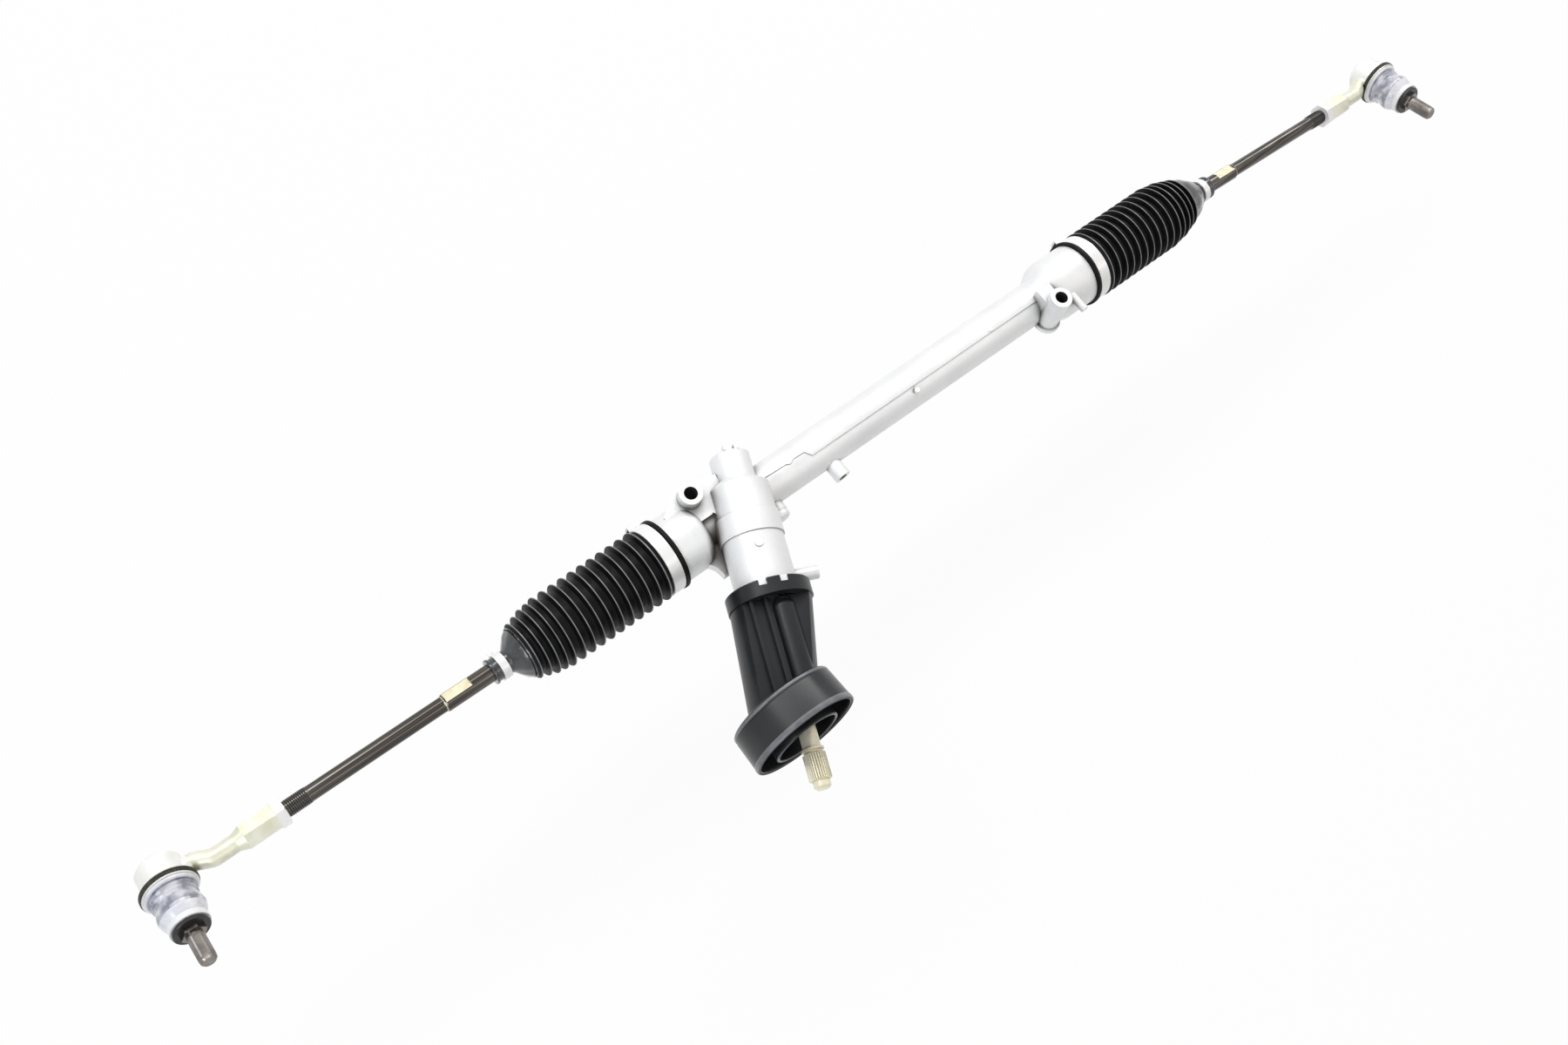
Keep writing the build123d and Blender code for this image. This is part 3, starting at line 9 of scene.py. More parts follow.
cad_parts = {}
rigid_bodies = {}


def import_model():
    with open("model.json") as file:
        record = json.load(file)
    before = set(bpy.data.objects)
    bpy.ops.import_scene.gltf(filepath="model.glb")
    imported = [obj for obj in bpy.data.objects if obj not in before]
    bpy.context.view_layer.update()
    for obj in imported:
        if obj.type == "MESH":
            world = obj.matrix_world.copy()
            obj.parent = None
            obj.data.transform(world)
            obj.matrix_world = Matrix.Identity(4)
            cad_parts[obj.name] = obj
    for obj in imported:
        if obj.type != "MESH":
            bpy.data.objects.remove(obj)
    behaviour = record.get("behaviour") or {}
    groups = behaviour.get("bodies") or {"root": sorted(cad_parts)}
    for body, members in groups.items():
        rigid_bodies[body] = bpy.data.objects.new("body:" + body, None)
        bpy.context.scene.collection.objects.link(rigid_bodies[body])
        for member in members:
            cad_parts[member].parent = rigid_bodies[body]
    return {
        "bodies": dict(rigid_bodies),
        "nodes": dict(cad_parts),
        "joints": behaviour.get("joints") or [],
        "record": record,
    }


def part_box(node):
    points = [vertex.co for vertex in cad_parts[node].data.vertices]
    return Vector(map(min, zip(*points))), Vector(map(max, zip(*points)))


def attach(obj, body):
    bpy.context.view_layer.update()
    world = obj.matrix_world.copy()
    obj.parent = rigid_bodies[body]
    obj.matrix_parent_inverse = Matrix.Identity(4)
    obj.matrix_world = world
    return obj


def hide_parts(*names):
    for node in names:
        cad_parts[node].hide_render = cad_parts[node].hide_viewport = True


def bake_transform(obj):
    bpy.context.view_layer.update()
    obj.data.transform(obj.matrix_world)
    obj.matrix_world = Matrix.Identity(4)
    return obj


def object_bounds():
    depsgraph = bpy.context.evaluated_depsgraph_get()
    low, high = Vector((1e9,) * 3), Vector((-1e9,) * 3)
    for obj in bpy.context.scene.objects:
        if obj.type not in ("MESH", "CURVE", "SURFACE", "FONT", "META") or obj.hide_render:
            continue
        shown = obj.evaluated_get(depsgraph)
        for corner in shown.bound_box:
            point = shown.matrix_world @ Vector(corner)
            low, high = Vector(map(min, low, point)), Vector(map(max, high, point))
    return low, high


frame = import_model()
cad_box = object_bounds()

MM = 0.001
SIDES = {"left": -1, "right": 1}
JOINTS = {joint["name"]: joint for joint in frame["joints"]}
RACK_AXIS = Vector((1, 0, 0))
UP = Vector((0, 0, 1))
ORIGIN = Vector((0, 0, 0))


# ---------------------------------------------------------------- places taken from the frame
def axes_at(origin, along, across):
    """Matrix of a local frame: Z along the axis, X as near as it can be to across."""
    z_axis = along.normalized()
    x_axis = (across - z_axis * across.dot(z_axis)).normalized()
    y_axis = z_axis.cross(x_axis)
    return Matrix.Translation(origin) @ Matrix((x_axis, y_axis, z_axis)).transposed().to_4x4()


def middle_of(node):
    low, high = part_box(node)
    return (low + high) / 2


def reach_of(node, side):
    """Stations where a node begins and ends, in mm outboard from the rack's middle, to 0.01 mm."""
    return sorted(round(corner.x * SIDES[side] / MM, 2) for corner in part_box(node))


def rack_axes(side):
    """Frame on the rack axis, Z outboard."""
    return axes_at(ORIGIN, RACK_AXIS * SIDES[side], UP)


def rod_axes(side):
    """Frame at the inner ball, Z along the tie rod. The jam nut is centred on the rod."""
    ball = Vector(JOINTS[f"rod_rise_{side}"]["pos_m"])
    return axes_at(ball, middle_of(f"jam_nut_{side}") - ball, UP)


def stud_axes(side):
    """Frame at the outer ball, Z along the stud."""
    spin = JOINTS[f"stud_spin_{side}"]
    return axes_at(Vector(spin["pos_m"]), Vector(spin["axis"]), RACK_AXIS * SIDES[side])


# ---------------------------------------------------------------- camera
IMAGE_WIDTH = 1800  # pixels
FOCAL_PIXELS = 2018.96
SENSOR_WIDTH = 36  # mm
CAMERA_AT = Vector((-0.640712, -0.291075, 1.19303))
CAMERA_RIGHT = Vector((0.756217, -0.627154, 0.186586))
CAMERA_FORWARD = Vector((0.385161, 0.196137, -0.901766))
CLIP_NEAR = 0.05
CLIP_FAR = 50


def add_camera():
    """Camera fitted to the photograph: bellows' ridges, mounting holes, tube edges and ball joints."""
    data = bpy.data.cameras.new("camera")
    data.sensor_width = SENSOR_WIDTH
    data.lens = data.sensor_width * FOCAL_PIXELS / IMAGE_WIDTH
    data.clip_start = CLIP_NEAR
    data.clip_end = CLIP_FAR
    camera = bpy.data.objects.new("camera", data)
    camera.matrix_world = axes_at(CAMERA_AT, -CAMERA_FORWARD, CAMERA_RIGHT)
    bpy.context.scene.collection.objects.link(camera)
    bpy.context.scene.camera = camera


# ---------------------------------------------------------------- floor, backdrop and lamps
WHITE = 1.0  # strength at which a glow is plain white
FLOOR_REACH = 6  # m, from the middle to an edge
FLOOR_PAPER = 0.86
FLOOR_GLOW_SHARE = 0.93  # the rest of what the camera sees is paper, which takes the shadow
ROD_DROOP = 120 * MM  # room under the part for the tie rods when they hang down
WORLD_LIGHT = 0.336

Lamp = namedtuple("Lamp", "name place size power colour")
LAMPS = (  # places from the part's middle and sizes in m, powers in W
    Lamp("key_softbox", (0.4, 1.35, 1.75), (4.8, 0.65), 54, (1, 1, 1)),
    Lamp("front_strip", (0.4, -1.35, 1.65), (4.0, 0.35), 9, (1.0, 0.92, 0.82)),
    Lamp("left_strip", (-1.5, -0.5, 0.9), (0.35, 1.3), 7, (0.86, 0.93, 1.0)),
)


def nodes_of(owner):
    """Node tree, node maker and linker of a material or a world."""
    owner.use_nodes = True
    tree = owner.node_tree

    def new(kind, **settings):
        node = tree.nodes.new(kind)
        for key, value in settings.items():
            setattr(node, key, value)
        return node

    return tree, new, tree.links.new


def seen_directly(new, link):
    """1 for rays from the camera, or seen in glossy surfaces or through glass."""
    path = new("ShaderNodeLightPath")
    either = new("ShaderNodeMath", operation="MAXIMUM")
    any_of = new("ShaderNodeMath", operation="MAXIMUM")
    link(path.outputs["Is Camera Ray"], either.inputs[0])
    link(path.outputs["Is Glossy Ray"], either.inputs[1])
    link(either.outputs[0], any_of.inputs[0])
    link(path.outputs["Is Transmission Ray"], any_of.inputs[1])
    return any_of.outputs[0]


def add_floor():
    """Pale paper that takes the part's shadow and glows white where it is looked at."""
    material = bpy.data.materials.new("white_floor")
    tree, new, link = nodes_of(material)
    tree.nodes.clear()
    paper = new("ShaderNodeBsdfDiffuse")
    paper.inputs["Color"].default_value = (FLOOR_PAPER, FLOOR_PAPER, FLOOR_PAPER, 1)
    glow = new("ShaderNodeEmission")
    glow.inputs["Strength"].default_value = WHITE
    share = new("ShaderNodeMath", operation="MULTIPLY")
    share.inputs[1].default_value = FLOOR_GLOW_SHARE
    link(seen_directly(new, link), share.inputs[0])
    mix = new("ShaderNodeMixShader")
    link(share.outputs[0], mix.inputs[0])
    link(paper.outputs[0], mix.inputs[1])
    link(glow.outputs[0], mix.inputs[2])
    out = new("ShaderNodeOutputMaterial")
    link(mix.outputs[0], out.inputs["Surface"])

    grid = bmesh.new()
    bmesh.ops.create_grid(grid, x_segments=2, y_segments=2, size=FLOOR_REACH)
    floor = new_piece("floor", mesh_of(grid, "floor"), material)
    floor.location.z = cad_box[0].z - ROD_DROOP


def add_world():
    """World that lights the part softly and is plain white where it is looked at."""
    world = bpy.data.worlds.new("studio")
    bpy.context.scene.world = world
    tree, new, link = nodes_of(world)
    tree.nodes.clear()
    strength = new("ShaderNodeMapRange")
    strength.inputs["To Min"].default_value = WORLD_LIGHT
    strength.inputs["To Max"].default_value = WHITE
    link(seen_directly(new, link), strength.inputs["Value"])
    background = new("ShaderNodeBackground")
    background.inputs["Color"].default_value = (1, 1, 1, 1)
    link(strength.outputs["Result"], background.inputs["Strength"])
    out = new("ShaderNodeOutputWorld")
    link(background.outputs[0], out.inputs["Surface"])


def add_lamps():
    """Soft rectangular lamps that face the part, their long sides along the rack."""
    centre = (cad_box[0] + cad_box[1]) / 2
    for name, place, size, power, colour in LAMPS:
        data = bpy.data.lights.new(name, "AREA")
        data.shape = "RECTANGLE"
        data.size, data.size_y = size
        data.energy = power
        data.color = colour
        lamp = bpy.data.objects.new(name, data)
        lamp.location = centre + Vector(place)
        lamp.rotation_euler = axes_at(ORIGIN, lamp.location - centre, RACK_AXIS).to_euler()
        bpy.context.scene.collection.objects.link(lamp)


# ---------------------------------------------------------------- materials
# painted shade: base colours darken in narrow inner corners that an ambient occlusion node finds closed in
RECESS_REACH = 30 * MM
RECESS_OPEN = 0.78  # openness above which a surface has its own colour
RECESS_CLOSED = 0.36  # openness below which it has the full tint
RECESS_SAMPLES = 8
PATCH_SPAN = (0.35, 0.65)  # noise values between which one shade passes into the other
GLOSS_SPAN = (0.3, 0.7)
PATCH_DETAIL = 4
GLOSS_DETAIL = 3
GRAIN_DETAIL = 2
COAT_ROUGHNESS = 0.15
DRAWN = (0.015, 1, 1)  # stretch that draws the noise out into streaks along the rack


def painted_corner_shade(new, link, colour, corner_shade):
    """Colour socket darkened towards a painted shade colour where a surface is closed in by its neighbours.
    """
    openness = new("ShaderNodeAmbientOcclusion", samples=RECESS_SAMPLES, only_local=True)
    openness.inputs["Distance"].default_value = RECESS_REACH
    share = new("ShaderNodeMapRange", interpolation_type="SMOOTHSTEP")
    share.inputs["From Min"].default_value = RECESS_CLOSED
    share.inputs["From Max"].default_value = RECESS_OPEN
    link(openness.outputs["AO"], share.inputs["Value"])
    blend = new("ShaderNodeMix", data_type="RGBA", blend_type="MIX")
    blend.inputs["A"].default_value = (*corner_shade, 1)
    link(share.outputs["Result"], blend.inputs["Factor"])
    link(colour, blend.inputs["B"])
    return blend.outputs["Result"]


def surface(
    name,
    shades,
    patch,
    metallic,
    roughness,
    rough_patch,
    grain,
    grain_size,
    stretch=(1, 1, 1),
    coat=0.0,
    specular=0.5,
    corner_shade=None,
):
    """Procedural material: colour between two shades in patches, uneven gloss, and a fine grain.

    patch, rough_patch and grain_size are in metres. stretch scales the coordinates for streaks.
    corner_shade, if given, is the colour of the painted shade in narrow inner corners.
    """
    material = bpy.data.materials.new(name)
    tree, new, link = nodes_of(material)
    shader = tree.nodes["Principled BSDF"]
    shader.inputs["Metallic"].default_value = metallic
    shader.inputs["Coat Weight"].default_value = coat
    shader.inputs["Coat Roughness"].default_value = COAT_ROUGHNESS
    shader.inputs["Specular IOR Level"].default_value = specular
    place = new("ShaderNodeTexCoord")
    scaled = new("ShaderNodeMapping")
    scaled.inputs["Scale"].default_value = stretch
    link(place.outputs["Object"], scaled.inputs["Vector"])

    def noise(size, detail):
        texture = new("ShaderNodeTexNoise")
        texture.inputs["Scale"].default_value = 1 / size
        texture.inputs["Detail"].default_value = detail
        link(scaled.outputs["Vector"], texture.inputs["Vector"])
        return texture.outputs["Fac"]

    shading = new("ShaderNodeValToRGB")
    for stop, position, shade in zip(shading.color_ramp.elements, PATCH_SPAN, shades):
        stop.position = position
        stop.color = (*shade, 1)
    link(noise(patch, PATCH_DETAIL), shading.inputs["Fac"])
    colour = shading.outputs["Color"]
    # painted shade in narrow inner corners
    if corner_shade:
        colour = painted_corner_shade(new, link, colour, corner_shade)
    link(colour, shader.inputs["Base Color"])

    gloss = new("ShaderNodeMapRange")
    gloss.inputs["From Min"].default_value, gloss.inputs["From Max"].default_value = GLOSS_SPAN
    gloss.inputs["To Min"].default_value, gloss.inputs["To Max"].default_value = roughness
    link(noise(rough_patch, GLOSS_DETAIL), gloss.inputs["Value"])
    link(gloss.outputs["Result"], shader.inputs["Roughness"])

    bump = new("ShaderNodeBump")
    bump.inputs["Strength"].default_value = grain
    bump.inputs["Distance"].default_value = grain_size
    link(noise(grain_size, GRAIN_DETAIL), bump.inputs["Height"])
    link(bump.outputs["Normal"], shader.inputs["Normal"])
    return material


# its corner_shade is painted shade, dark brown in the casting's inner corners
CAST_ALUMINIUM = surface(
    "cast_aluminium", shades=((0.83, 0.833, 0.84), (0.89, 0.892, 0.896)), patch=0.03, metallic=0.2,
    roughness=(0.32, 0.46), rough_patch=0.006, grain=0.25, grain_size=0.0009,
    corner_shade=(0.13, 0.118, 0.105),
)
# painted shadow: dark grey on the narrow upright face of the casting's parting step
PARTING_STEP_SHADOW = surface(
    "painted_parting_shadow", shades=((0.16, 0.16, 0.165), (0.30, 0.30, 0.31)), patch=0.01, metallic=0.2,
    roughness=(0.5, 0.6), rough_patch=0.004, grain=0.1, grain_size=0.0005,
)
# pale zinc of the rod end caps, also a painted highlight on the rod ends' heads: a lighter copy of their zinc
CAP_ZINC_AND_HEAD_HIGHLIGHT = surface(
    "cap_zinc_and_head_highlight", shades=((0.86, 0.86, 0.83), (0.91, 0.91, 0.89)), patch=0.01, metallic=0.2,
    roughness=(0.3, 0.42), rough_patch=0.004, grain=0.05, grain_size=0.0004,
)
MACHINED_STEEL = surface(
    "machined_steel", shades=((0.42, 0.42, 0.43), (0.52, 0.52, 0.53)), patch=0.01, metallic=1.0,
    roughness=(0.2, 0.32), rough_patch=0.002, grain=0.1, grain_size=0.0004,
)
STUD_STEEL = surface(
    "stud_steel", shades=((0.15, 0.135, 0.125), (0.27, 0.25, 0.235)), patch=0.012, metallic=1.0,
    roughness=(0.16, 0.24), rough_patch=0.006, grain=0.02, grain_size=0.0004,
)
BLACK_STEEL = surface(
    "blackened_steel", shades=((0.05, 0.045, 0.04), (0.13, 0.12, 0.11)), patch=0.0025, metallic=1.0,
    roughness=(0.10, 0.15), rough_patch=0.004, grain=0.02, grain_size=0.0005, stretch=DRAWN,
)
BLACK_THREAD = surface(
    "blackened_thread", shades=((0.012, 0.012, 0.013), (0.024, 0.023, 0.023)), patch=0.004,
    metallic=0.4, roughness=(0.4, 0.55), rough_patch=0.002, grain=0.15, grain_size=0.0003,
)
GOLD_FACET = surface(
    "gold_facet", shades=((0.74, 0.67, 0.46), (0.86, 0.80, 0.60)), patch=0.01, metallic=0.3,
    roughness=(0.3, 0.4), rough_patch=0.005, grain=0.03, grain_size=0.0004,
)
# its corner_shade is painted shade in the inner corners of the pinion shaft
YELLOW_ZINC = surface(
    "yellow_zinc", shades=((0.80, 0.745, 0.55), (0.90, 0.865, 0.70)), patch=0.012, metallic=0.35,
    roughness=(0.24, 0.36), rough_patch=0.005, grain=0.03, grain_size=0.0005, corner_shade=(0.52, 0.45, 0.29),
)
# its corner_shade is painted shade in the inner corners of the rod ends
PALE_ZINC = surface(
    "pale_zinc", shades=((0.72, 0.71, 0.55), (0.85, 0.84, 0.72)), patch=0.014, metallic=0.35,
    roughness=(0.3, 0.42), rough_patch=0.005, grain=0.12, grain_size=0.0008, corner_shade=(0.34, 0.33, 0.22),
)
# its corner_shade is painted shade, brownish, in the inner corners of clamps and jam nuts
BRIGHT_STEEL = surface(
    "stainless_band", shades=((0.87, 0.868, 0.86), (0.91, 0.908, 0.90)), patch=0.03, metallic=0.2,
    roughness=(0.26, 0.34), rough_patch=0.006, grain=0.02, grain_size=0.0004, corner_shade=(0.42, 0.37, 0.31),
)
BELLOWS_RUBBER = surface(
    "bellows_rubber", shades=((0.003, 0.003, 0.0035), (0.006, 0.006, 0.0065)), patch=0.012,
    metallic=0.0, roughness=(0.4, 0.55), rough_patch=0.004, grain=0.1, grain_size=0.0005, specular=0.12,
)
# painted highlight: pale grey rubber on the narrow crests of the bellows
CREST_HIGHLIGHT = surface(
    "bellows_crest_highlight", shades=((0.15, 0.15, 0.155), (0.24, 0.24, 0.245)), patch=0.012,
    metallic=0.0, roughness=(0.3, 0.42), rough_patch=0.004, grain=0.04, grain_size=0.0004, specular=0.6,
)
DOME_RUBBER = surface(
    "bellows_dome_rubber", shades=((0.004, 0.005, 0.007), (0.022, 0.027, 0.033)), patch=0.004,
    metallic=0.0, roughness=(0.08, 0.18), rough_patch=0.003, grain=0.2, grain_size=0.0016, coat=0.8,
)
# its corner_shade is painted shade in the boots' folds and corners
BOOT_RUBBER = surface(
    "boot_rubber", shades=((0.22, 0.235, 0.29), (0.66, 0.66, 0.72)), patch=0.007, metallic=0.0,
    roughness=(0.14, 0.26), rough_patch=0.003, grain=0.1, grain_size=0.0005, coat=0.7,
    corner_shade=(0.10, 0.11, 0.14),
)
BOOT_LIP = surface(
    "boot_lip", shades=((0.70, 0.70, 0.76), (0.84, 0.84, 0.88)), patch=0.006, metallic=0.0,
    roughness=(0.2, 0.32), rough_patch=0.003, grain=0.05, grain_size=0.0005, coat=0.4,
)
BLACK_PLASTIC = surface(
    "black_plastic", shades=((0.006, 0.0065, 0.008), (0.013, 0.014, 0.016)), patch=0.03, metallic=0.0,
    roughness=(0.30, 0.38), rough_patch=0.02, grain=0.03, grain_size=0.0005, specular=0.32,
)
SEAL_RUBBER = surface(
    "seal_rubber", shades=((0.006, 0.0065, 0.008), (0.013, 0.014, 0.017)), patch=0.03, metallic=0.0,
    roughness=(0.26, 0.34), rough_patch=0.03, grain=0.02, grain_size=0.0007, specular=0.4,
)
# painted highlight: paler rubber on the seal's front and rear beads
SEAL_BEAD_HIGHLIGHT = surface(
    "seal_bead_highlight", shades=((0.10, 0.105, 0.115), (0.18, 0.185, 0.20)), patch=0.01, metallic=0.0,
    roughness=(0.28, 0.36), rough_patch=0.008, grain=0.04, grain_size=0.0005, specular=0.6,
)
WHITE_RING = surface(
    "white_ring", shades=((0.82, 0.82, 0.83), (0.90, 0.90, 0.91)), patch=0.006, metallic=0.0,
    roughness=(0.25, 0.38), rough_patch=0.003, grain=0.05, grain_size=0.0004, coat=0.2,
)
SEAT_PLASTIC = surface(
    "seat_plastic", shades=((0.72, 0.71, 0.66), (0.80, 0.79, 0.74)), patch=0.01, metallic=0.0,
    roughness=(0.35, 0.5), rough_patch=0.004, grain=0.05, grain_size=0.0005,
)
BLACK_TRIM = surface(
    "black_trim", shades=((0.010, 0.010, 0.011), (0.024, 0.023, 0.022)), patch=0.005, metallic=0.3,
    roughness=(0.2, 0.34), rough_patch=0.002, grain=0.1, grain_size=0.0004,
)
# painted shade: near-black inside the mounting holes, where shade falls
HOLE_SHADE = surface(
    "painted_hole_shade", shades=((0.004, 0.004, 0.004), (0.010, 0.010, 0.010)), patch=0.004, metallic=0.0,
    roughness=(0.7, 0.9), rough_patch=0.002, grain=0.1, grain_size=0.0004,
)

# The bellows, the dust boots and the dash seal are left out, because pieces made below replace them.
NODE_MATERIALS = {
    "rack_housing": CAST_ALUMINIUM,
    "yoke": CAST_ALUMINIUM,
    "rack_bar": MACHINED_STEEL,
    "needle_bearing": MACHINED_STEEL,
    "bearing_outer_ring": MACHINED_STEEL,
    "bearing_inner_ring": MACHINED_STEEL,
    "bearing_balls": MACHINED_STEEL,
    "bearing_retainer": MACHINED_STEEL,
    "pinion_circlip": MACHINED_STEEL,
    "yoke_spring": MACHINED_STEEL,
    "yoke_plug": CAST_ALUMINIUM,
    "side_plug": CAST_ALUMINIUM,
    "pinion_shaft": YELLOW_ZINC,
    "pinion_seal": BLACK_TRIM,
    "rack_bush": SEAT_PLASTIC,
    "yoke_liner": SEAT_PLASTIC,
    "column_cover": BLACK_PLASTIC,
}
for side in SIDES:
    NODE_MATERIALS |= {
        f"large_clamp_{side}": BRIGHT_STEEL,
        f"small_clamp_{side}": BRIGHT_STEEL,
        f"inner_socket_{side}": MACHINED_STEEL,
        f"inner_seat_{side}": SEAT_PLASTIC,
        f"outer_seat_{side}": SEAT_PLASTIC,
        f"tie_rod_{side}": BLACK_STEEL,
        f"jam_nut_{side}": BRIGHT_STEEL,
        f"rod_end_{side}": PALE_ZINC,
        f"rod_end_cap_{side}": CAP_ZINC_AND_HEAD_HIGHLIGHT,
        f"boot_clip_{side}": BLACK_TRIM,
        f"boot_ring_{side}": WHITE_RING,
        f"boot_washer_{side}": BLACK_TRIM,
        f"ball_stud_{side}": STUD_STEEL,
    }


def paint(piece, material):
    piece.data.materials.clear()
    piece.data.materials.append(material)


def paint_faces(piece, material, chosen):
    """Second material on the faces of a piece whose centre and normal are chosen."""
    piece.data.materials.append(material)
    index = len(piece.data.materials) - 1
    for polygon in piece.data.polygons:
        if chosen(polygon.center, polygon.normal):
            polygon.material_index = index


# ---------------------------------------------------------------- paint on the CAD pieces
HOLE_PAINT_RADIUS = 5.3 * MM  # a little over the mounting hole's own
# within this radius the rod end's head is painted lighter, as a painted highlight
HEAD_RADIUS = 18.5 * MM  # of the rod end's turned head
FLATS_REACH = (78 * MM, 103 * MM)  # stations of the spanner flats along the tie rod
FLATS_DEPTH = (5.3 * MM, 5.6 * MM)  # distance of the flats from the rod's axis
PARTING_STEP_X = (-0.13, 0.158)
PARTING_STEP_Z = (14.5 * MM, 19.5 * MM)
PARTING_STEP_HALF_WIDTH = 7 * MM
UPRIGHT = 0.1  # largest rise of an upright face's normal


def within(value, span):
    return span[0] < value < span[1]


def paint_nodes():
    for node, material in NODE_MATERIALS.items():
        paint(frame["nodes"][node], material)


def paint_housing():
    """Painted shade in the mounting holes, and a painted shadow line on the face where the casting's halves
    meet in a step.
    """
    holes = [m for m in frame["record"]["mounts"] if m["name"].startswith("mounting_hole")]

    def in_a_hole(centre, normal):
        return any((centre - Vector(hole["pos_m"])).xy.length < HOLE_PAINT_RADIUS for hole in holes)

    def on_parting_step(centre, normal):
        """The narrow face where the rear half of the tube stands proud of the front half."""
        on_top = within(centre.z, PARTING_STEP_Z) and abs(centre.y) < PARTING_STEP_HALF_WIDTH
        return on_top and within(centre.x, PARTING_STEP_X) and abs(normal.z) < UPRIGHT

    # painted shade inside the mounting holes
    paint_faces(frame["nodes"]["rack_housing"], HOLE_SHADE, in_a_hole)
    # painted shadow on the parting step's narrow face
    paint_faces(frame["nodes"]["rack_housing"], PARTING_STEP_SHADOW, on_parting_step)


def paint_rod(side):
    """Gold spanner flats on a tie rod, and a painted highlight on the head of its rod end."""
    to_rod = rod_axes(side).inverted()
    to_stud = stud_axes(side).inverted()

    def on_flats(centre, normal):
        local = to_rod @ centre
        depth = (to_rod.to_3x3() @ normal).xy.dot(local.xy)
        return within(local.z, FLATS_REACH) and within(depth, FLATS_DEPTH)

    def on_head(centre, normal):
        return (to_stud @ centre).xy.length < HEAD_RADIUS

    paint_faces(frame["nodes"][f"tie_rod_{side}"], GOLD_FACET, on_flats)
    # painted highlight on the rod end's head
    paint_faces(frame["nodes"][f"rod_end_{side}"], CAP_ZINC_AND_HEAD_HIGHLIGHT, on_head)


# ---------------------------------------------------------------- mesh helpers
FILLET_STEPS = 3
THREAD_STEPS = 28  # to a turn
THREAD_SINK = 0.2  # mm, how far a thread's foot lies inside its shank


def new_piece(name, mesh, material):
    piece = bpy.data.objects.new(name, mesh)
    bpy.context.scene.collection.objects.link(piece)
    paint(piece, material)
    return piece


def mesh_of(shape, name):
    """Mesh of a bmesh, which is freed."""
    mesh = bpy.data.meshes.new(name)
    shape.to_mesh(mesh)
    shape.free()
    return mesh


def smooth(piece, angle):
    """Smooth shading, kept sharp at edges steeper than an angle in degrees."""
    for polygon in piece.data.polygons:
        polygon.use_smooth = True
    piece.data.set_sharp_from_angle(angle=math.radians(angle))


def point_at(radius, angle, station):
    """Point in metres from an angle about Z and a radius and station in mm."""
    return Vector((radius * math.cos(angle), radius * math.sin(angle), station)) * MM


def rounded(corners):
    """Outline of (station, radius, fillet) corners in mm with each fillet drawn as a short curve."""
    outline = []
    count = len(corners)
    for i, (x, y, fillet) in enumerate(corners):
        here = Vector((x, y))
        if not fillet:
            outline.append((x, y))
            continue
        before = (Vector(corners[i - 1][:2]) - here).normalized() * fillet
        after = (Vector(corners[(i + 1) % count][:2]) - here).normalized() * fillet
        for step in range(FILLET_STEPS + 1):
            t = step / FILLET_STEPS
            point = here + before * (1 - t) ** 2 + after * t**2
            outline.append((point.x, point.y))
    return outline


def add_strips(shape, near, far):
    """Band of faces between two closed rings of as many points."""
    count = len(near)
    for i in range(count):
        j = (i + 1) % count
        shape.faces.new((near[i], near[j], far[j], far[i]))


def turned_mesh(name, outline, segments, moved):
    """Closed ring of revolution about Z from (station, radius) points in mm.

    moved takes each local point, in metres, to its place in the world.
    """
    shape = bmesh.new()
    rings = []
    for step in range(segments):
        angle = 2 * math.pi * step / segments
        points = [moved(point_at(radius, angle, station)) for station, radius in outline]
        rings.append([shape.verts.new(point) for point in points])
    for step in range(segments):
        add_strips(shape, rings[step], rings[(step + 1) % segments])
    bmesh.ops.recalc_face_normals(shape, faces=shape.faces)
    return mesh_of(shape, name)


def thread_mesh(name, thread, place):
    """Closed helical ridge of triangular section along the Z axis of a frame."""
    shape = bmesh.new()
    turns = (thread.end - thread.start - thread.pitch) / thread.pitch
    foot = thread.root - THREAD_SINK
    sections = []
    for k in range(int(turns * THREAD_STEPS) + 1):
        angle = 2 * math.pi * k / THREAD_STEPS
        middle = thread.start + thread.pitch / 2 + thread.pitch * k / THREAD_STEPS
        height = max(min(1, k / THREAD_STEPS, (turns * THREAD_STEPS - k) / THREAD_STEPS), 0)
        radii = (foot, thread.root + (thread.crest - thread.root) * height, foot)
        offsets = (-thread.pitch / 2, 0, thread.pitch / 2)
        corners = [point_at(radius, angle, middle + offset) for offset, radius in zip(offsets, radii)]
        sections.append([shape.verts.new(place @ corner) for corner in corners])
    for near, far in zip(sections, sections[1:]):
        add_strips(shape, near, far)
    shape.faces.new(reversed(sections[0]))
    shape.faces.new(sections[-1])
    bmesh.ops.recalc_face_normals(shape, faces=shape.faces)
    return mesh_of(shape, name)


# ---------------------------------------------------------------- bellows
# Radii and stations in mm, the stations counted outboard from the middle of the rack.
BELLOWS_SEGMENTS = 120
BELLOWS_SHARP = 50  # degrees
BELLOWS_WALL = 1.0
CUFF_START = {side: reach_of(f"bellows_{side}", side)[0] for side in SIDES}
CUFF_SEAT_END = {side: reach_of("rack_housing", side)[1] for side in SIDES}  # the collar's end
RIDGE_RADIUS = round(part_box("bellows_left")[1].y / MM, 2)
CUFF_LIP = 3.0  # length of the thick edge
CUFF_LIP_RADIUS = RIDGE_RADIUS
CUFF_STEP = 0.6  # length of the step down to the clamp's seat
CUFF_RADIUS = 26.9
CUFF_END_GAP = 0.3  # from the cuff to the first ridge, as a share of the pitch
CUFF_SEAT_RADIUS = 24.6
FIRST_RIDGE_INSET = 3.0  # from the collar's end
RIDGE_PITCH = {"left": 8.62, "right": 8.2}
RIDGE_COUNT = 11
END_RIDGE_PITCH = {"left": 6.2, "right": 7.0}
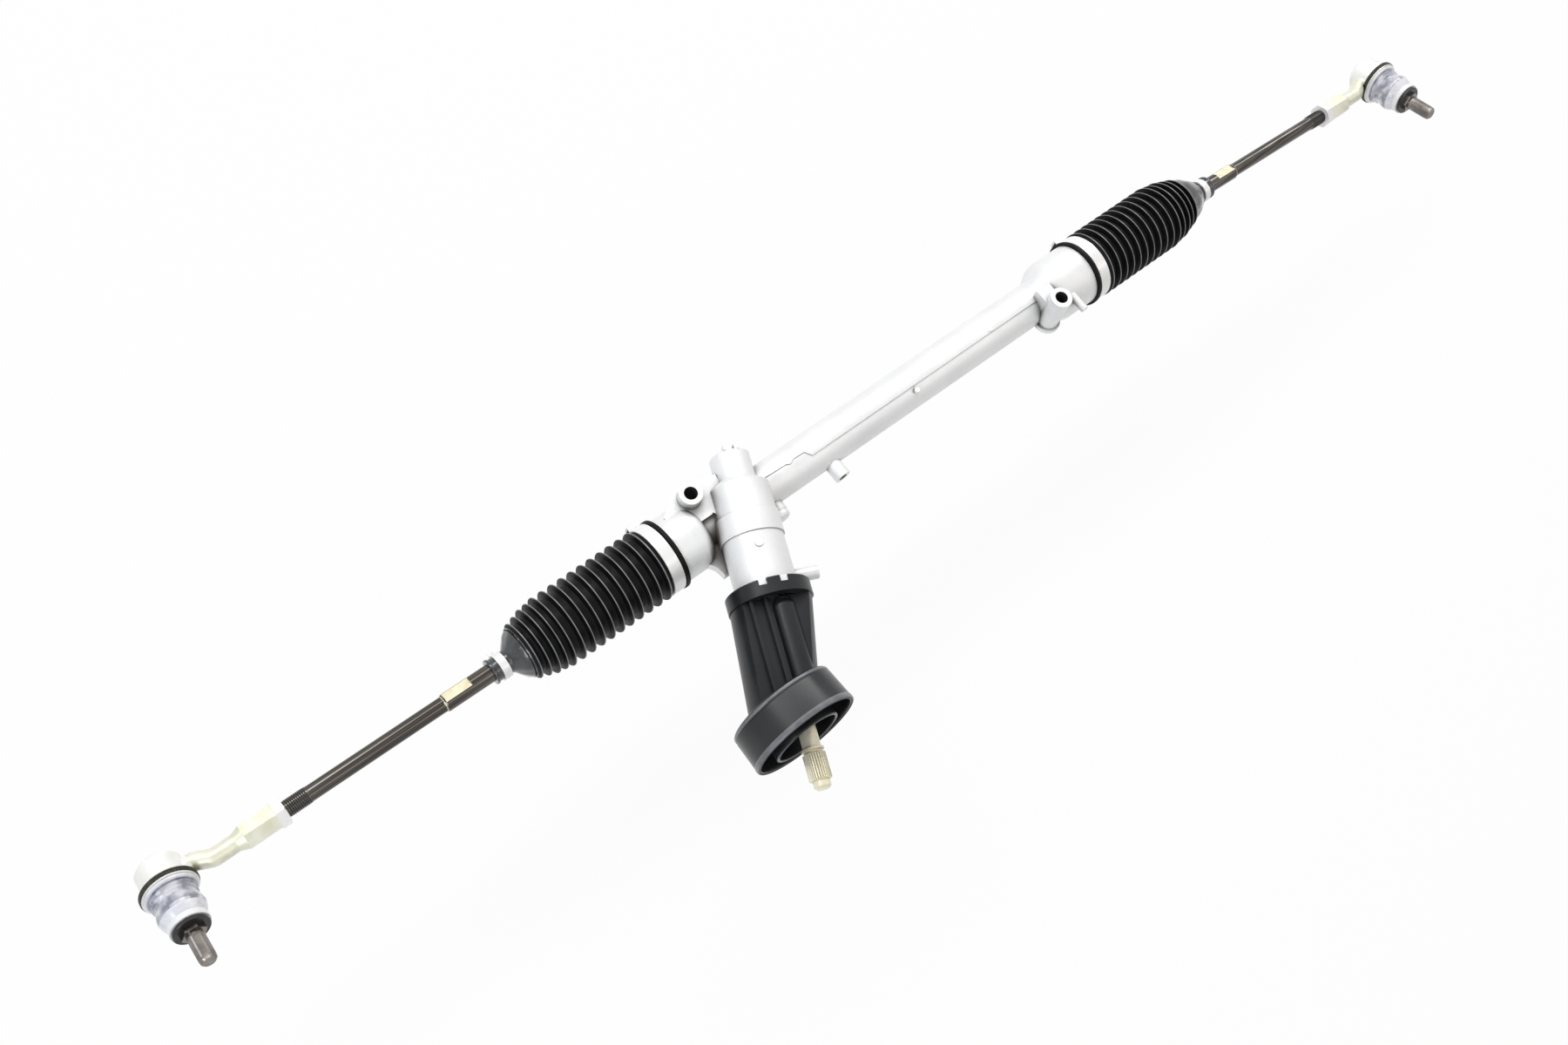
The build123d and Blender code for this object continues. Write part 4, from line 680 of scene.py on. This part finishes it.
END_RIDGE_RADII = (27.8, 27.0, 24.9, 22.9)
RIDGE_FOOT = 0.20  # half the width of a ridge at its root, as a share of the pitch
CREST_FLAT = 0.35
CREST_FILLET = 0.3
VALLEY_DEPTH = 5.0
VALLEY_FILLET = 0.1  # as a share of the pitch
FULL_PITCH = 8.0  # ridges closer than this have shallower valleys
# the pale rubber on each crest is a painted highlight
CREST_HALF_WIDTH = 1.0  # of the pale rubber
CREST_DEPTH = 1.3
DOME_START = 2  # of the plain end, from the last ridge
DOME_SHOULDER_DROP = 2.4  # from the last ridge's radius to the plain end's
NECK_START = {"left": 362.0, "right": 366.0}
NECK_LENGTH = 15.0
NECK_RADIUS = 9.0
NECK_RIM = 0.9  # how far the neck's rim stands out
NECK_BORE = 6.8
CRINKLE = 0.45  # height of the plain end's uneven folds
CRINKLE_WAVES = ((7, 0.8, 0), (4, -0.55, 1))  # folds round the end, turn in radians per mm, phase
CRINKLE_START = 1  # after the last ridge
CRINKLE_RISE = 4
CRINKLE_FALL = 5  # before the neck
CRINKLE_LEAST_RADIUS = NECK_RADIUS + 1
BEND_LEAD = 12  # how far before the last ridge the bellows start to lean towards the rod's axis
STILL_REACH = 2  # how far beyond the collar's end the bellows stay with the housing
CREST_HIGHLIGHT_INDEX = 1  # places in the list of a bellows' materials
DOME_INDEX = 2


def ridges_of(side):
    """Ridges as (station, radius), from the cuff to the neck."""
    first = CUFF_SEAT_END[side] + FIRST_RIDGE_INSET
    ridges = [(first + i * RIDGE_PITCH[side], RIDGE_RADIUS) for i in range(RIDGE_COUNT)]
    last = ridges[-1][0]
    return ridges + [(last + (i + 1) * END_RIDGE_PITCH[side], r) for i, r in enumerate(END_RIDGE_RADII)]


def cuff_corners(side):
    """Thick edge and plain seat of the large clamp, up to the foot of the first ridge."""
    start = CUFF_START[side]
    first = ridges_of(side)[0][0]
    return [
        (start, CUFF_LIP_RADIUS, 0.5),
        (start + CUFF_LIP, CUFF_LIP_RADIUS, 0.8),
        (start + CUFF_LIP + CUFF_STEP, CUFF_RADIUS, 0.3),
        (first - RIDGE_PITCH[side] * CUFF_END_GAP, CUFF_RADIUS, 0.5),
    ]


def ridge_corners(side):
    """Narrow crests with round valleys between them."""
    corners = []
    ridges = ridges_of(side)
    for i, (place, radius) in enumerate(ridges):
        if i:
            last_place, last_radius = ridges[i - 1]
            pitch = place - last_place
            floor = min(last_radius, radius) - VALLEY_DEPTH * min(1, pitch / FULL_PITCH)
            corners.append((last_place + pitch * RIDGE_FOOT, floor, pitch * VALLEY_FILLET))
            corners.append((place - pitch * RIDGE_FOOT, floor, pitch * VALLEY_FILLET))
        corners.append((place - CREST_FLAT, radius, CREST_FILLET))
        corners.append((place + CREST_FLAT, radius, CREST_FILLET))
    return corners


def end_corners(side):
    """Plain dome and the neck that grips the tie rod."""
    last = ridges_of(side)[-1][0]
    neck = NECK_START[side]
    neck_end = neck + NECK_LENGTH
    shoulder = END_RIDGE_RADII[-1] - DOME_SHOULDER_DROP
    return [
        (last + 2.6, shoulder, 0.9),
        (last + (neck - last) * 0.42, shoulder - 1.2, 4.0),
        (neck - 2.2, NECK_RADIUS + 3.4, 2.5),
        (neck + 0.4, NECK_RADIUS, 1.2),
        (neck_end - 2.2, NECK_RADIUS, 0.4),
        (neck_end - 1.8, NECK_RADIUS + NECK_RIM, 0.4),
        (neck_end, NECK_RADIUS + NECK_RIM, 0.5),
    ]


def inner_corners(side):
    """Plain inside, from the neck back to the collar."""
    ridges = ridges_of(side)
    neck = NECK_START[side]
    seat_end = CUFF_SEAT_END[side]
    bore = RIDGE_RADIUS - VALLEY_DEPTH - BELLOWS_WALL
    dome_bore = END_RIDGE_RADII[-1] - DOME_SHOULDER_DROP - 2 * BELLOWS_WALL
    return [
        (neck + NECK_LENGTH, NECK_BORE, 0),
        (neck, NECK_BORE, 0),
        (ridges[-1][0] + DOME_START, dome_bore, 0),
        (ridges[RIDGE_COUNT - 1][0], bore, 0),
        (seat_end + 3, bore, 0),
        (seat_end + 0.4, CUFF_SEAT_RADIUS, 0),
        (CUFF_START[side], CUFF_SEAT_RADIUS, 0),
    ]


def band_kind(side, outline, i):
    """Material index of the ring of faces after an outline point."""
    ends = (outline[i], outline[(i + 1) % len(outline)])
    ridges = ridges_of(side)
    for place, radius in ridges:
        if all(abs(x - place) < CREST_HALF_WIDTH and y > radius - CREST_DEPTH for x, y in ends):
            return CREST_HIGHLIGHT_INDEX
    return DOME_INDEX if min(x for x, _ in ends) > ridges[-1][0] + DOME_START else 0


def ease(value, start, end):
    """0 before start, 1 after end, smooth between them."""
    share = min(1, max(0, (value - start) / (end - start)))
    return share * share * (3 - 2 * share)


def crinkle(station, angle, last_ridge, neck):
    """Height in mm of the plain end's folds, which die out at both of its edges."""
    start = last_ridge + CRINKLE_START
    share = ease(station, start, start + CRINKLE_RISE) * (1 - ease(station, neck - CRINKLE_FALL, neck))
    wave = math.prod(math.sin(folds * angle + turn * station + phase) for folds, turn, phase in CRINKLE_WAVES)
    return CRINKLE * wave * share


def follow_tie_rod(piece, side, outline):
    """Hook that stretches the bellows: still at the collar, wholly with the tie rod from the last ridge."""
    group = piece.vertex_groups.new(name="follows_tie_rod")
    still = CUFF_SEAT_END[side] + STILL_REACH
    reach = ridges_of(side)[-1][0] - still
    for i, (station, _) in enumerate(outline):
        ring = [i + len(outline) * step for step in range(BELLOWS_SEGMENTS)]
        group.add(ring, min(1, max(0, (station - still) / reach)), "REPLACE")
    hook = piece.modifiers.new(group.name, "HOOK")
    hook.object = frame["bodies"][f"tie_rod_assembly_{side}"]
    hook.vertex_group = group.name
    hook.falloff_type = "NONE"
    hook.matrix_inverse = hook.object.matrix_world.inverted() @ piece.matrix_world


def add_bellows(side):
    """Rubber bellows from the housing's collar to the tie rod, which carries its neck along."""
    straight = rack_axes(side)
    along_rod = rod_axes(side)
    to_ball = straight.inverted() @ along_rod.translation
    ridge_end = ridges_of(side)[-1][0]
    neck = NECK_START[side]

    def bent(local):
        station = local.z / MM
        if local.xy.length > CRINKLE_LEAST_RADIUS * MM:
            height = crinkle(station, math.atan2(local.y, local.x), ridge_end, neck)
            local = local + Vector((local.x, local.y, 0)).normalized() * height * MM
        share = ease(station, ridge_end - BEND_LEAD, neck)
        return (straight @ local).lerp(along_rod @ (local - to_ball), share)

    corners = cuff_corners(side) + ridge_corners(side) + end_corners(side) + inner_corners(side)
    outline = rounded(corners)
    mesh = turned_mesh(f"rubber_bellows_{side}", outline, BELLOWS_SEGMENTS, bent)
    piece = new_piece(f"rubber_bellows_{side}", mesh, BELLOWS_RUBBER)
    # the pale crests are a painted highlight
    piece.data.materials.append(CREST_HIGHLIGHT)
    piece.data.materials.append(DOME_RUBBER)
    kinds = [band_kind(side, outline, i) for i in range(len(outline))]
    for polygon in piece.data.polygons:
        polygon.material_index = kinds[polygon.index % len(outline)]
    smooth(piece, BELLOWS_SHARP)
    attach(piece, "housing")
    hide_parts(f"bellows_{side}")
    follow_tie_rod(piece, side, outline)


# ---------------------------------------------------------------- dust boots
# Radii and stations in mm, the boot's stations from the outer ball along the stud.
BOOT_SEGMENTS = 80
BOOT_SHARP = 50  # degrees
BOOT_START = 11.05
BOOT_END = 41.8
BOOT_BORE = 6.5
BOOT_SIDE = (  # distance from the foot, radius, fillet: flared foot, two folds and round belly
    (0.0, 18.2, 0.5),
    (1.7, 18.2, 0.6),
    (2.3, 17.0, 0.4),
    (3.1, 15.3, 0.6),
    (4.4, 16.9, 0.8),
    (5.9, 14.9, 0.9),
    (7.6, 16.2, 0.9),
    (9.4, 14.3, 1.0),
    (11.2, 14.9, 1.0),
    (15.5, 16.4, 2.4),
    (19.5, 16.4, 2.4),
    (23.4, 14.6, 1.4),
    (25.4, 13.1, 0.7),
)
BOOT_INSIDE = ((23, 12.2, 0), (17, 14.4, 0), (10, 12.6, 0), (4, 12.8, 0), (0, 15.0, 0))
BOOT_RING_SEAT = (BOOT_END - 4.6, BOOT_END - 0.1)
BOOT_RING_SEAT_RADIUS = 12.6
BOOT_NECK = BOOT_END - 5  # where the end that stays with the stud begins
BOOT_FOOT_LENGTH = 2.4  # of the pale foot
BOOT_BAND_START = 19.5  # of the pale band before the ring, from the foot


def add_boot(side):
    """Dust boot from the rod end to the stud, held by a white ring."""
    place = stud_axes(side)
    corners = [(BOOT_START + station, radius, fillet) for station, radius, fillet in BOOT_SIDE]
    corners += [(station, BOOT_RING_SEAT_RADIUS, 0.2) for station in BOOT_RING_SEAT]
    corners += [(BOOT_RING_SEAT[1], BOOT_BORE, 0), (BOOT_NECK, BOOT_BORE, 0)]
    corners += [(BOOT_START + station, radius, fillet) for station, radius, fillet in BOOT_INSIDE]
    outline = rounded(corners)
    mesh = turned_mesh(f"rubber_boot_{side}", outline, BOOT_SEGMENTS, lambda local: place @ local)
    piece = new_piece(f"rubber_boot_{side}", mesh, BOOT_RUBBER)
    to_stud = place.inverted()

    def on_lip(centre, normal):
        """The pale foot of the boot and the plain band before its ring."""
        from_foot = (to_stud @ centre).z / MM - BOOT_START
        return not BOOT_FOOT_LENGTH <= from_foot <= BOOT_BAND_START

    paint_faces(piece, BOOT_LIP, on_lip)
    smooth(piece, BOOT_SHARP)
    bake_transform(piece)
    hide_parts(f"dust_boot_{side}")


# ---------------------------------------------------------------- threads
THREAD_SHARP = 30  # degrees
# Radii and stations in mm: the stud's from the outer ball, the rod's from the jam nut's middle.
Thread = namedtuple("Thread", "root crest start end pitch")
STUD_THREAD = Thread(root=5.7, crest=6.0, start=49.6, end=69.8, pitch=1.25)
ROD_THREAD = Thread(root=6.0, crest=6.35, start=-22.2, end=-3.6, pitch=1.5)


def add_threads(side):
    """Helical ridges on the stud and on the bare end of the tie rod."""
    mesh = thread_mesh(f"stud_thread_{side}", STUD_THREAD, stud_axes(side))
    piece = new_piece(f"stud_thread_{side}", mesh, STUD_STEEL)
    smooth(piece, THREAD_SHARP)
    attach(piece, f"stud_assembly_{side}")

    place = rod_axes(side)
    nut = (middle_of(f"jam_nut_{side}") - place.translation).length / MM
    thread = ROD_THREAD._replace(start=nut + ROD_THREAD.start, end=nut + ROD_THREAD.end)
    mesh = thread_mesh(f"rod_thread_{side}", thread, place)
    piece = new_piece(f"rod_thread_{side}", mesh, BLACK_THREAD)
    smooth(piece, THREAD_SHARP)
    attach(piece, f"tie_rod_assembly_{side}")


# ---------------------------------------------------------------- dash seal
SEAL_SEGMENTS = 144
SEAL_SHARP = 40  # degrees
SEAL_CENTRE = Vector((-0.2295, -0.1713, 0.015))  # of the front face
SEAL_DIRECTION = Vector((-0.036, -0.995, 0.096))
SEAL_REAR = -31.0
SEAL_OUTSIDE = (  # station from the front face in mm, radius, fillet
    (SEAL_REAR, 34.5, 0),
    (SEAL_REAR, 40.6, 1.2),
    (-29.4, 42.0, 0.5),
    (-27.6, 42.1, 0.2),
    (-27.2, 41.7, 0.2),
    (-26.4, 41.7, 0.2),
    (-26.0, 42.2, 0.2),
    (-4.2, 43.0, 0.3),
    (-3.6, 43.4, 0.4),
    (-1.0, 43.4, 0.8),
)
SEAL_LIP = (
    (0.0, 42.6, 0.5),
    (-0.1, 41.9, 0.3),
    (-1.1, 41.6, 0.3),
    (-1.2, 41.2, 0.2),
    (-0.4, 40.9, 0.3),
    (-0.6, 40.2, 0.4),
)
SEAL_FLOOR = (
    (-3.0, 39.9, 0.8),
    (-14.0, 39.4, 2.0),
    (-17.0, 36.4, 2.0),
    (-17.0, 29.2, 1.4),
)
SEAL_SLEEVE = (
    (-15.0, 27.2, 1.4),
    (0.9, 27.2, 0.4),
    (1.5, 26.6, 0.4),
    (1.5, 25.2, 0.4),
    (0.9, 24.8, 0.3),
    (-16.0, 24.8, 0),
    (-16.0, 34.5, 0),
)
# the pale beads are a painted highlight
SEAL_FRONT_BEAD = 42.95  # radius beyond which the front bead is pale
SEAL_REAR_BEAD = 41.85  # the same for the rear bead
SEAL_REAR_BEAD_END = -27


def add_seal():
    """Round rubber seal: beaded rim, annular floor and an inner sleeve round the shaft."""
    place = axes_at(SEAL_CENTRE, SEAL_DIRECTION, RACK_AXIS)
    outline = rounded(SEAL_OUTSIDE + SEAL_LIP + SEAL_FLOOR + SEAL_SLEEVE)
    mesh = turned_mesh("rubber_dash_seal", outline, SEAL_SEGMENTS, lambda local: place @ local)
    piece = new_piece("rubber_dash_seal", mesh, SEAL_RUBBER)
    to_seal = place.inverted()

    def on_bead(centre, normal):
        local = (to_seal @ centre) / MM
        on_rear = local.xy.length > SEAL_REAR_BEAD and local.z < SEAL_REAR_BEAD_END
        return on_rear or local.xy.length > SEAL_FRONT_BEAD

    # painted highlight on the seal's beads
    paint_faces(piece, SEAL_BEAD_HIGHLIGHT, on_bead)
    smooth(piece, SEAL_SHARP)
    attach(piece, "housing")
    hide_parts("dash_seal")


# ---------------------------------------------------------------- assembly
paint_nodes()
paint_housing()
for side in SIDES:
    paint_rod(side)
    add_bellows(side)
    add_boot(side)
    add_threads(side)
add_seal()

add_camera()
add_floor()
add_world()
add_lamps()

bpy.context.scene.view_settings.view_transform = "Standard"
